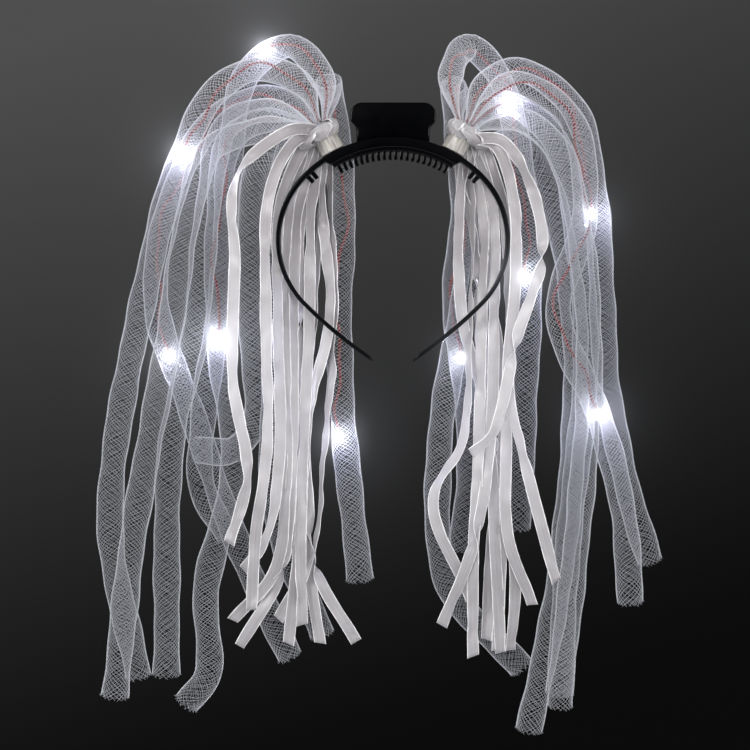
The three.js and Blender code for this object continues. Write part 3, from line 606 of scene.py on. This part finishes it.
def battery_box():
    """The flat case on the crown bar, waisted over its foot, with a rounded rim."""
    head, neck, corner = 24.5, 20.8, 6.9  # half widths, and the radius of the top corners
    top, bulge, waist = 27.7, 18.5, 12.5  # heights
    foot = CROWN_RADIUS + CLEARANCE
    foot_angle = math.asin(neck / foot)
    flank = ((neck + head) / 2, (waist + bulge) / 2)
    half = [(neck, waist - 2)]
    for start, pull, end in [((neck, waist - 2), (neck, waist + 1), flank),
                             (flank, (head, bulge - 2), (head, bulge))]:
        for t in np.linspace(0.1, 1, 10):
            half.append(tuple((1 - t) ** 2 * s + 2 * t * (1 - t) * p + t * t * e
                              for s, p, e in zip(start, pull, end)))
    for angle in np.radians(np.linspace(0, 90, 15)):
        half.append((head - corner + corner * math.cos(angle), top - corner + corner * math.sin(angle)))
    under = [(foot * math.sin(angle), CROWN_CENTRE + foot * math.cos(angle))
             for angle in np.linspace(-foot_angle, foot_angle, 25)]
    outline = under + half + [(-x, z) for x, z in reversed(half)]
    bm = bmesh.new()
    face = bm.faces.new([bm.verts.new((x, BOX_FRONT, z)) for x, z in outline])
    grown = bmesh.ops.extrude_face_region(bm, geom=[face])["geom"]
    rear = [item for item in grown if isinstance(item, bmesh.types.BMVert)]
    bmesh.ops.translate(bm, vec=(0, BOX_DEEP, 0), verts=rear)
    bmesh.ops.recalc_face_normals(bm, faces=bm.faces)
    rims = [edge for edge in bm.edges if abs(edge.verts[0].co.y - edge.verts[1].co.y) < 1e-6]
    bmesh.ops.bevel(bm, geom=rims, offset=BOX_RIM, offset_type="OFFSET", segments=3, profile=0.5,
                    affect="EDGES", material=-1)
    return piece_from(bm, "battery_box_case", BLACK, ["battery_box"], sharp=35)


hoop()
comb()
battery_box()


# Collars
def collar_axes(side):
    """A matrix from a collar's own axes, its foot at zero and its axis up, to its place on the hoop."""
    point, out = hoop_face(side * COLLAR_ANGLE)
    tilt = Matrix.Rotation(math.radians(side * COLLAR_ANGLE), 4, "Y")
    return Matrix.Translation(point + out * CLEARANCE) @ tilt


COLLAR_BORE = 5.8
COLLAR_FLUTES = ((0.012, 9, 0.5), (0.009, 17, 0))  # share of the radius, number round the collar, phase


def collar(name, side):
    """A ferrule wound from tape, faintly fluted by its turns."""
    # Radius and height round the wall, with a rolled lip at each end
    profile = [(COLLAR_BORE, 0.2), (6.0, 0), (7.0, 0), (7.12, 0.25), (7.08, 0.7), (6.98, 0.85), (6.95, 3.2)]
    profile += [(6.95, 5.6), (6.97, 8.1), (7.06, 8.25), (7.06, 8.8), (6.9, COLLAR_LONG), (6.0, COLLAR_LONG)]
    profile += [(COLLAR_BORE, COLLAR_LONG - 0.2)]
    bm = lathe(profile, steps=72, closed=True)
    wrap = bm.loops.layers.uv.new("wrap")
    for corner_point in bm.verts:
        angle = math.atan2(corner_point.co.y, corner_point.co.x)
        if corner_point.co.xy.length > COLLAR_BORE + 0.5:
            corner_point.co.xy *= 1 + sum(size * math.sin(number * angle + phase)
                                          for size, number, phase in COLLAR_FLUTES)
    for face in bm.faces:
        centre = math.atan2(face.calc_center_median().y, face.calc_center_median().x)
        for loop in face.loops:
            angle = math.atan2(loop.vert.co.y, loop.vert.co.x)
            angle += 2 * math.pi * round((centre - angle) / (2 * math.pi))
            loop[wrap].uv = (COLLAR_RADIUS * angle, loop.vert.co.z)
    bmesh.ops.transform(bm, matrix=collar_axes(side), verts=bm.verts)
    return piece_from(bm, f"tape_collar_{name}", TAPE, [f"collar_{name}"], sharp=60)


for side_name, side_sign in SIDES.items():
    collar(side_name, side_sign)


# Routes
def head_centre(side):
    """The middle of the gathered head over a collar."""
    point, out = hoop_face(side * COLLAR_ANGLE)
    return np.array(point + out * (CLEARANCE + COLLAR_LONG + HEAD_RISE))


def spline(points, shares):
    """Points of a centripetal Catmull-Rom curve at these shares of its parameter."""
    points = np.asarray(points, float)
    whole = np.concatenate([[2 * points[0] - points[1]], points, [2 * points[-1] - points[-2]]])
    place = np.asarray(shares) * (len(points) - 1)
    first = np.minimum(place.astype(int), len(points) - 2)
    w = (place - first)[:, None]
    a, b, c, d = (whole[first + k] for k in range(4))
    ab, bc, cd = (np.linalg.norm(q - p, axis=1)[:, None] ** 0.5 for p, q in ((a, b), (b, c), (c, d)))
    leave = ((b - a) / ab - (c - a) / (ab + bc) + (c - b) / bc) * bc
    arrive = ((c - b) / bc - (d - b) / (bc + cd) + (d - c) / cd) * bc
    square = 3 * (c - b) - 2 * leave - arrive
    cube = 2 * (b - c) + leave + arrive
    return b + leave * w + square * w ** 2 + cube * w ** 3


class Route:
    """A smooth line with its length, and the broad and narrow axes of what follows it."""

    def __init__(self, points, fold=False):
        shares = np.linspace(0, 1, 900)
        self.line = spline(points, shares)
        steps = np.linalg.norm(np.diff(self.line, axis=0), axis=1)
        self.along = np.concatenate([[0], np.cumsum(steps)])
        self.length = self.along[-1]
        self.shares = shares
        self.way = np.gradient(self.line, self.along, axis=0)
        self.way /= np.linalg.norm(self.way, axis=1, keepdims=True)
        held = np.array([1.0, 0, 0]) if fold else np.array([0, 1.0, 0])
        axis = held - (self.way @ held)[:, None] * self.way
        axis /= np.linalg.norm(axis, axis=1, keepdims=True)
        self.broad = axis if fold else np.cross(axis, self.way)
        self.narrow = np.cross(self.way, axis) if fold else axis

    def at(self, along):
        """Middle, way, broad and narrow axis at these lengths from the start."""
        return [np.stack([np.interp(along, self.along, rows[:, k]) for k in range(3)], axis=-1)
                for rows in (self.line, self.way, self.broad, self.narrow)]

    def length_at(self, share):
        """The length from the start at a share of the parameter."""
        return float(np.interp(share, self.shares, self.along))


CREST_SHARE = 0.85  # of the way from spring to lane that a noodle has come at its second station


def noodle_route(row):
    """The line of a noodle, from the gather's surface through its stations."""
    centre = head_centre(math.copysign(1, row["way"][-1][0]))
    depths = [row["spring"], row["spring"] + CREST_SHARE * (row["lane"] - row["spring"])]
    depths += [row["lane"]] * (len(row["way"]) - 2)
    stations = [np.array([x, y, z], float) for (x, z), y in zip(row["way"], depths)]
    way = (stations[0] - centre) / np.linalg.norm(stations[0] - centre)
    return Route([centre + way * (HEAD_RADIUS + 2 * CLEARANCE)] + stations, row.get("fold", False))


# Noodles
THREADS = 20  # filaments of each hand, drawn fewer and coarser than the real ones so that they show
THREAD_RADIUS = 0.092
THREAD_TIP = 0.02
THREAD_STEP = 3.5  # length between the points of a thread
LAY = 42  # length over which a thread goes once round, so that threads cross at about a right angle
LAYER = 0.05  # how far the threads of one hand lie over the tube's surface, and the others under it
THREAD_STRAY = 0.03  # radians that a thread lies out of its even place, as a standard deviation
SQUASH = ((0.05, 61), (0.035, 27))  # share by which the tube's width gives, wavelength
SQUASH_DEEP = 1.4  # how much more its depth gives, the other way
EDGE_FULLNESS = 0.72  # below 1 its section is fuller than an ellipse, and its edges stand as walls
PAINTED_LIGHT_REACH = (12, 46)  # lengths from the collar, one chosen at random for each thread, up to which it takes the lighter copy: painted light near the top, where the threads lie close
CUT_BOW = 2.4  # how far the middle of the cut end stands past its edges
CUT_REACH = 12  # length over which that bow grows
FRAY = 1.6  # greatest length of the loose ends past the cut
FRAY_ASIDE = (0.1, 0.35)  # how far outwards they bend, as a mean and a standard deviation
CREASE_RADIUS = 0.12  # threads bunched along the edge where the tube was pressed flat
CREASE_ROOT = 0.05  # the same while the tube is still pinched
CREASE_INSETS = (0, 0.35)


def noodle(key, row, rng):
    """A flattened tube braided from threads of both hands, with a crease of close-lying threads along each
    edge, painted lighter as a highlight.
    """
    route = noodle_route(row)
    samples = int(route.length / THREAD_STEP) + 1
    along = np.linspace(0, route.length, samples)
    middle, way, broad, narrow = route.at(along)
    opened = smooth_share(along, 0, TUBE_FLARE)
    phase = rng.uniform(0, 2 * math.pi, 4)
    squash = opened * waves(along, SQUASH, phase)
    wide = (TUBE_ROOT_HALF + (TUBE_HALF_WIDE - TUBE_ROOT_HALF) * opened) * (1 + squash)
    deep = (TUBE_ROOT_HALF + (TUBE_HALF_DEEP - TUBE_ROOT_HALF) * opened) * (1 - SQUASH_DEEP * squash)
    bow = CUT_BOW * smooth_share(along, route.length - CUT_REACH, route.length)
    radius = np.full(samples + 2, THREAD_RADIUS)
    radius[[0, -1]] = THREAD_TIP
    bundles = []
    for hand in (1, -1):
        start = np.arange(THREADS) * 2 * math.pi / THREADS + phase[2]
        start += rng.normal(0, THREAD_STRAY, THREADS)
        turn = start[:, None] + hand * 2 * math.pi * along / LAY
        across, through = np.cos(turn)[..., None], np.sin(turn)[..., None]
        flat = np.sign(across) * np.abs(across) ** EDGE_FULLNESS
        out = flat * broad * (wide + LAYER * hand)[:, None]
        out = out + through * narrow * (deep + LAYER * hand)[:, None]
        points = middle + out + bow[:, None] * through ** 2 * way
        normals = across * broad / wide[:, None] + through * narrow / deep[:, None]
        points, normals = frayed(points, normals, rng)
        # Painted light: threads near the collar take the lighter copy.
        painted_lighter = np.append(along, route.length) < rng.uniform(*PAINTED_LIGHT_REACH, (THREADS, 1))
        bundles.append((points, normals, radius, 3, painted_lighter.astype(int)))
    # Painted highlight: the creases along the edges take the lighter copy.
    for sign in (1, -1):
        for inset in CREASE_INSETS:
            points = (middle + sign * broad * (wide - inset)[:, None])[None]
            bundles.append((points, narrow[None], np.where(opened > 0.3, CREASE_RADIUS, CREASE_ROOT), 4, 1))
    return piece_from_strands(f"mesh_tube_{key}", bundles, [FILAMENT, LIT_FILAMENT],
                              [f"noodle_{key}"])


def frayed(points, normals, rng):
    """The threads of one hand, each run on past the cut by a length of its own and bent a little aside."""
    last = points[:, -1] - points[:, -2]
    last /= np.linalg.norm(last, axis=1, keepdims=True)
    outward = normals[:, -1] / np.linalg.norm(normals[:, -1], axis=1, keepdims=True)
    loose = rng.uniform(0.3, 1, (THREADS, 1)) * FRAY
    spread = rng.normal(*FRAY_ASIDE, (THREADS, 1))
    first_end = points[:, -1] + last * loose * 0.5 + outward * spread * 0.4
    second_end = points[:, -1] + last * loose + outward * spread * 1.3
    points = np.concatenate([points, first_end[:, None], second_end[:, None]], axis=1)
    normals = np.concatenate([normals, normals[:, -1:], normals[:, -1:]], axis=1)
    return points, normals


# Leads and lamps
WIRE_RADIUS = 0.42
WIRE_TIP = 0.05
WIRE_STEP = 0.25  # length between the points of a wire
RED_SHARE = (1.6, 0.4)  # of that radius: the red wire's own, and how far it lies from the lead's middle
WHITE_SHARE = (0.42, 1.55)
TWIST = 1.9  # length of a turn of the two wires round each other
STRAY = ((2.6, 83), (0.9, 31))  # how far a lead wanders across its tube, wavelength
LIFT = ((1.2, 67),)  # how far it wanders from front to back, wavelength
COMES_FREE = (15, 50)  # lengths from the collar over which it starts to wander
COMES_BACK = 18  # length before the lamp over which it stops
DOME_RADIUS = 1.28
DOME_RISE = 1.5  # height of the round tip
GLOW_AHEAD = 1.5  # from the tip to the light that stands for its glow
GLOW_POWER = 0.045
GLOW_RADIUS = 1.2
GLOW_SMOOTH = 12  # length within which the light no longer grows


def lead(key, row, rng):
    """A red and a white wire twisted round each other inside a noodle, with a lamp at the end."""
    route = noodle_route(row)
    end = route.length_at(row["lamp"] / len(row["way"]))
    lamp_aside = row.get("aside", 0)
    along = np.linspace(0, end, int(end / WIRE_STEP))
    middle, _, broad, narrow = route.at(along)
    free = smooth_share(along, *COMES_FREE) * smooth_share(end - along, 0, COMES_BACK)
    phase = rng.uniform(0, 2 * math.pi, 3)
    aside = free * waves(along, STRAY, phase) + lamp_aside * smooth_share(along, end / 2, end)
    lift = free * waves(along, LIFT, phase[2:])
    middle = middle + broad * aside[:, None] + narrow * lift[:, None]
    turn = 2 * math.pi * along / TWIST
    swing = np.cos(turn)[:, None] * broad + np.sin(turn)[:, None] * narrow
    bundles = []
    for sign, kind, (size, apart) in ((1, 0, RED_SHARE), (-1, 1, WHITE_SHARE)):
        points = (middle + sign * WIRE_RADIUS * apart * swing)[None]
        radius = np.full(len(along), WIRE_RADIUS * size)
        radius[[0, -1]] = WIRE_TIP
        bundles.append((points, narrow[None], radius, 5, kind))
    piece_from_strands(f"twisted_lead_{key}", bundles, [RED_WIRE, WHITE_WIRE],
                       [f"led_lead_{key}"])
    lamp(key, route, end, lamp_aside)


def lamp(key, route, end, aside):
    """A flanged dome on the end of a lead, and the light that it sheds."""
    middle, way, broad, _ = (Vector(row) for row in route.at(end))
    middle += broad * aside
    way.normalize()
    shaft = LAMP_LONG - DOME_RISE
    profile = [(0, 0), (LAMP_RADIUS, 0), (LAMP_RADIUS, 0.7), (DOME_RADIUS, 0.8), (DOME_RADIUS, shaft)]
    for angle in np.radians(np.linspace(15, 90, 6)):
        profile.append((DOME_RADIUS * math.cos(angle), shaft + DOME_RISE * math.sin(angle)))
    bm = lathe(profile, steps=24)
    turn = way.to_track_quat("Z", "Y").to_matrix().to_4x4()
    bmesh.ops.transform(bm, matrix=Matrix.Translation(middle + way * CLEARANCE) @ turn, verts=bm.verts)
    piece_from(bm, f"lamp_dome_{key}", LAMP, [f"led_lamp_{key}"])
    glow_data = bpy.data.lights.new(f"lamp_glow_{key}", "POINT")
    glow_data.energy = GLOW_POWER
    glow_data.color = linear("#d8daff")[:3]
    glow_data.shadow_soft_size = GLOW_RADIUS * MM
    glow_data.use_nodes = True
    tree = glow_data.node_tree
    falloff = add(tree, "ShaderNodeLightFalloff", {"Strength": 1, "Smooth": (GLOW_SMOOTH * MM) ** 2})
    tree.links.new(falloff.outputs["Quadratic"], tree.nodes["Emission"].inputs["Strength"])
    glow = bpy.data.objects.new(f"lamp_glow_{key}", glow_data)
    glow.location = (middle + way * (LAMP_LONG + GLOW_AHEAD)) * MM
    bpy.context.scene.collection.objects.link(glow)


NOODLE_SEED = 100
LEAD_SEED = 200
for number, (noodle_key, noodle_row) in enumerate(NOODLES.items()):
    noodle(noodle_key, noodle_row, np.random.default_rng(NOODLE_SEED + number))
    if "lamp" in noodle_row:
        lead(noodle_key, noodle_row, np.random.default_rng(LEAD_SEED + number))


# Ribbons
RIBBON_SEEDS = {"left": 11, "right": 12}
RIBBON_THICK = 0.2
RIBBON_ROW = 2.2  # length of a row of faces
LIP = 2  # how far past the collar's wall a ribbon comes out of the gather
OPENS = (8, 45)  # lengths over which it leaves the gather and lies flat
CUPPED = (1.3, 0.2)  # rise of its middle over its edges, in the gather and below
SWAY = ((0.42, 143), (0.25, 59))  # radians that it turns to and fro about its own line, wavelength
LEAN_CALMS = 0.55  # share of the sway that a ribbon loses when it hangs turned a radian or more
LEAN_FADES = (165, 220)  # lengths over which such a ribbon comes back to the front
LEAN_LOST = 0.85  # share of the way that it comes back
TURN_REACH = (12, 19)  # least and most of half the length in which it turns over
KINK_REACH = 12
FLUTTER = ((0.25, 19),)  # how far its edges wave, wavelength
RIPPLE = ((0.36, 37), (0.14, 15))  # how far all of it waves, wavelength
CUT_SLANT = 0.4  # most that its end is cut aslant
SLANT_REACH = 6


def ribbon_route(row, side):
    """The line of a ribbon, out of the gather over the collar's lip and down through its stations."""
    centre = head_centre(side)
    axis = np.array(hoop_face(side * COLLAR_ANGLE)[1])
    stations = [np.array([x, row["lane"], z], float) for x, z in row["way"]]
    spread = stations[0] - centre
    spread -= axis * (spread @ axis)
    lip = centre + spread / np.linalg.norm(spread) * (COLLAR_RADIUS + LIP) + axis * row.get("lift", 2)
    return Route([centre, lip] + stations)


def height_to_length(route, height):
    """The length along a hanging route where it last passes a height."""
    above = np.nonzero(route.line[:, 2] > height)[0]
    return float(route.along[above[-1]])


def add_strip(bm, columns, rows, length, place):
    """Adds a strip of ribbon. place gives a point from its share across, -1 to 1, and along, 0 to 1."""
    made = bmesh.new()
    weave = made.loops.layers.uv.new("weave")
    bmesh.ops.create_grid(made, x_segments=columns, y_segments=rows, size=1)
    for face in made.faces:
        for loop in face.loops:
            loop[weave].uv = (RIBBON_HALF * loop.vert.co.x, length * (loop.vert.co.y + 1) / 2)
    for corner_point in made.verts:
        corner_point.co = place(corner_point.co.x, (corner_point.co.y + 1) / 2)
    strip = bpy.data.meshes.new("strip")
    made.to_mesh(strip)
    made.free()
    bm.from_mesh(strip)
    bpy.data.meshes.remove(strip)


def thicken(obj, thick):
    """Gives ribbon its thickness, half to each side."""
    wall = obj.modifiers.new("ribbon_thickness", "SOLIDIFY")
    wall.thickness = thick * MM
    wall.offset = 0
    return obj


def add_ribbon(bm, route, turns, kinks, lean, slant, rng):
    """A ribbon that follows a route, turned over or aside at some lengths along it."""
    sway = rng.uniform(0, 2 * math.pi, 4)
    calm = 1 - LEAN_CALMS * min(1, lean)

    def place(u, v):
        along = route.length * v
        middle, way, broad, narrow = route.at(along)
        opened = float(smooth_share(along, *OPENS))
        hung = lean * (1 - LEAN_LOST * float(smooth_share(along, *LEAN_FADES)))
        roll = opened * (hung + calm * float(waves(along, SWAY, sway)))
        for turn, sign, reach in turns:
            roll += sign * math.pi * float(smooth_share(along, turn - reach, turn + reach))
        for kink, size in kinks:
            roll += (size - roll) * math.exp(-((along - kink) / KINK_REACH) ** 2)
        across = broad * math.cos(roll) + narrow * math.sin(roll)
        face_way = narrow * math.cos(roll) - broad * math.sin(roll)
        crown = (CUPPED[0] + (CUPPED[1] - CUPPED[0]) * opened) * (1 - u * u)
        crown += u * waves(along, FLUTTER, sway[2:])
        crown += opened * waves(along, RIPPLE, (sway[3], 2 * sway[3]))
        cut = slant * u * RIBBON_HALF * float(smooth_share(along, route.length - SLANT_REACH, route.length))
        return middle + across * RIBBON_HALF * u + face_way * crown + way * cut

    add_strip(bm, columns=8, rows=int(route.length / RIBBON_ROW), length=route.length, place=place)


def ribbons(name, side):
    """The ribbons that hang from one collar."""
    rng = np.random.default_rng(RIBBON_SEEDS[name])
    bm = bmesh.new()
    bm.loops.layers.uv.new("weave")
    for row in RIBBONS[name]:
        route = ribbon_route(row, side)
        turns = [(height_to_length(route, z), rng.choice([-1, 1]), rng.uniform(*TURN_REACH))
                 for z in row["turns"]]
        kinks = [(height_to_length(route, z), size) for z, size in row["kinks"]]
        slant = rng.uniform(-CUT_SLANT, CUT_SLANT)
        add_ribbon(bm, route, turns, kinks, row.get("roll", 0), slant, rng)
    obj = piece_from(bm, f"satin_ribbons_{name}", SATIN, [f"ribbon_tassel_{name}"], sharp=80)
    return thicken(obj, RIBBON_THICK)


# Gathers
GATHER_SEEDS = {"left": 21, "right": 22}
GATHER_THICK = 0.15
GATHER_ALONG = 60  # a gather takes the tone that a ribbon has this far along, greyed by the painted shade near the gather
CORE_RADIUS = (5.3, 7.7)  # in the collar and over it
CORE_HALF_HIGH = 6.6
PLEATS = ((0.1, 9), (0.06, 16))  # share of the core's radius, number round it
PLEAT_TWIST = 1.6  # radians that the broader pleats turn over half the core's height
PLEAT_HELD = 0.25  # share of their depth that is left in the collar
FOLDS = 7
FOLD_LAYER = 0.4  # how far every other fold lies over its neighbours
FOLD_ROOT = 5.0  # radius at which a fold leaves the collar
FOLD_SUNK = 1.2  # how deep in the collar it starts
FOLD_TOP = (19.5, 22)  # least and greatest height
FOLD_PUFF = (8.8, 10.2)  # least and greatest radius of its belly
FOLD_FOOT = 0.12  # share of the belly's curve that is passed at the foot
FOLD_SPREAD = (0.3, 0.85)  # radians round the collar to each side, at the foot and from half way up
FOLD_CURL = (0.2, 0.8)  # least and most that its edges stand off
FOLD_CREASE = 0.35  # how far its face waves
FOLD_WAVY = 0.4  # how far its top edge waves
FOLD_CLOSES = 4.2  # how far its top draws in
FOLD_DROOPS = 3  # how far its top sinks
OUTER_DROP = 4  # how much lower folds on the outer side stand
OUTER_PUFF = 7  # how much further they belly out


def gather(name, side):
    """The bunched head over a collar: a pleated core under folds of ribbon that rise from the rim."""
    rng = np.random.default_rng(GATHER_SEEDS[name])
    phase = rng.uniform(0, 2 * math.pi, 4)
    bm = bmesh.new()
    weave = bm.loops.layers.uv.new("weave")
    bmesh.ops.create_uvsphere(bm, u_segments=72, v_segments=28, radius=1)
    for corner_point in bm.verts:
        angle = math.atan2(corner_point.co.y, corner_point.co.x)
        height = corner_point.co.z
        turns = (phase[0] + PLEAT_TWIST * height, phase[1])
        pleat = sum(size * math.sin(count * angle + turn) for (size, count), turn in zip(PLEATS, turns))
        clear = float(smooth_share(height, -0.75, -0.1))
        radius = (CORE_RADIUS[0] + (CORE_RADIUS[1] - CORE_RADIUS[0]) * clear) * corner_point.co.xy.length
        radius *= 1 + pleat * (PLEAT_HELD + (1 - PLEAT_HELD) * clear)
        corner_point.co = (radius * math.cos(angle), radius * math.sin(angle),
                           COLLAR_LONG + HEAD_RISE + CORE_HALF_HIGH * height)
    for number in range(FOLDS):
        angle = 2 * math.pi * (number + rng.uniform(-0.25, 0.25)) / FOLDS
        add_fold(bm, side, angle, FOLD_LAYER * (number % 2), rng)
    # The gather takes the ribbons' tone, painted shade near the gather included.
    for face in bm.faces:
        for loop in face.loops:
            loop[weave].uv = (loop[weave].uv.x, GATHER_ALONG + loop.vert.co.z)
    bmesh.ops.transform(bm, matrix=collar_axes(side), verts=bm.verts)
    obj = piece_from(bm, f"ribbon_gather_{name}", SATIN, sharp=80)
    return thicken(obj, GATHER_THICK)


def add_fold(bm, side, angle, layer, rng):
    """One puffed fold of ribbon: narrow in the collar, bellied out over its rim, closing at the top."""
    outer = max(0, side * math.cos(angle))
    top = rng.uniform(*FOLD_TOP) - OUTER_DROP * outer
    curl = rng.uniform(*FOLD_CURL)
    puff = rng.uniform(*FOLD_PUFF) + OUTER_PUFF * outer
    phase = rng.uniform(0, 2 * math.pi, 2)

    def place(u, up):
        spread = FOLD_SPREAD[0] + (FOLD_SPREAD[1] - FOLD_SPREAD[0]) * float(smooth_share(up, 0, 0.5))
        belly = math.sin(math.pi * min(1, FOLD_FOOT + (1 - FOLD_FOOT) * up))
        closing = FOLD_CLOSES * float(smooth_share(up, 0.62, 1))
        radius = FOLD_ROOT + (puff - FOLD_ROOT) * belly ** 0.8 - closing + layer
        radius += curl * u * u * belly + FOLD_CREASE * math.sin(7 * up + phase[0] + 3 * u) * belly
        height = COLLAR_LONG - FOLD_SUNK + (top - COLLAR_LONG) * up
        height += FOLD_WAVY * math.sin(4 * u + phase[1]) * up
        height -= FOLD_DROOPS * float(smooth_share(up, 0.75, 1))
        turn = angle + spread * u
        return radius * math.cos(turn), radius * math.sin(turn), height

    add_strip(bm, columns=10, rows=22, length=0, place=place)


for side_name, side_sign in SIDES.items():
    ribbons(side_name, side_sign)
    gather(side_name, side_sign)


# Stage, in metres: a pale floor well below what is held up, soft studio lights, and a grey surround that
# darkens downwards
FLOOR_RADIUS = 0.55
FLOOR_HEIGHT = -0.43
floor_shape = bmesh.new()
bmesh.ops.create_circle(floor_shape, cap_ends=True, segments=96, radius=FLOOR_RADIUS)
bmesh.ops.translate(floor_shape, vec=(0, 0, FLOOR_HEIGHT), verts=floor_shape.verts)
floor_mesh = bpy.data.meshes.new("floor")
floor_shape.to_mesh(floor_mesh)
floor_shape.free()
floor_mesh.materials.append(matt_floor())
floor = bpy.data.objects.new("floor", floor_mesh)
bpy.context.scene.collection.objects.link(floor)

LIGHT_AIM = Vector((0, 0, -0.12))
# name, place, width, power, whether it shows in gloss
SOFTBOXES = [
    ("key_softbox", (-1.0, -1.4, 0.35), 0.7, 16, True),
    ("fill_softbox", (1.2, -1.2, 0.0), 0.7, 9, True),
    ("left_softbox", (-1.4, 0.1, 0.1), 0.5, 10, True),
    ("right_softbox", (1.4, 0.1, 0.1), 0.5, 7, True),
    ("top_softbox", (0, -0.35, 1.1), 0.6, 8, False),
    ("front_softbox", (0.15, -1.65, 0.05), 0.6, 21, False),
]
for softbox_name, place, width, power, mirrored in SOFTBOXES:
    softbox_data = bpy.data.lights.new(softbox_name, "AREA")
    softbox_data.shape = "SQUARE"
    softbox_data.size = width
    softbox_data.energy = power
    softbox = bpy.data.objects.new(softbox_name, softbox_data)
    softbox.location = place
    softbox.rotation_euler = (LIGHT_AIM - Vector(place)).to_track_quat("-Z", "Y").to_euler()
    softbox.visible_camera = False
    softbox.visible_glossy = mirrored
    bpy.context.scene.collection.objects.link(softbox)

SURROUND_SLANT = -0.35  # sideways share of the way that it lightens, which is up and somewhat to the left
SURROUND_RISE = (-0.13, 0.15)  # how far that way the line of sight points where it is darkest and lightest
SURROUND_EASE = 1.75
world = bpy.data.worlds.new("studio")
world.use_nodes = True
bpy.context.scene.world = world
surround = world.node_tree
sight = add(surround, "ShaderNodeSeparateXYZ", links={
    "Vector": add(surround, "ShaderNodeTexCoord").outputs["Generated"]})
aslant = add(surround, "ShaderNodeMath", {1: SURROUND_SLANT},
             {0: sight.outputs["X"], 2: sight.outputs["Z"]}, operation="MULTIPLY_ADD")
rise = add(surround, "ShaderNodeMapRange", {"From Min": SURROUND_RISE[0], "From Max": SURROUND_RISE[1]},
           {"Value": aslant.outputs[0]})
fall = add(surround, "ShaderNodeMath", {1: SURROUND_EASE}, {0: rise.outputs["Result"]}, operation="POWER")
grey = add(surround, "ShaderNodeMix", {6: linear("#141414"), 7: linear("#4f4f4f")},
           {0: fall.outputs[0]}, data_type="RGBA")
surround.links.new(grey.outputs[2], surround.nodes["Background"].inputs["Color"])

# Bloom round the lit lamps, as a lens gives it, with the black point set where its wide haze ends
HAZE = (0.0036, 0.0036, 0.0036, 1)
bpy.context.scene.use_nodes = True
lens = bpy.context.scene.node_tree
lens.nodes.clear()
taken = add(lens, "CompositorNodeRLayers")
bloom = add(lens, "CompositorNodeGlare", {"Threshold": 2.0, "Strength": 1.0, "Size": 0.6},
            {"Image": taken.outputs["Image"]}, glare_type="BLOOM")
cleared = add(lens, "CompositorNodeMixRGB", {2: HAZE}, {1: bloom.outputs["Image"]}, blend_type="SUBTRACT",
              use_clamp=True)
add(lens, "CompositorNodeComposite", links={"Image": cleared.outputs["Image"]})
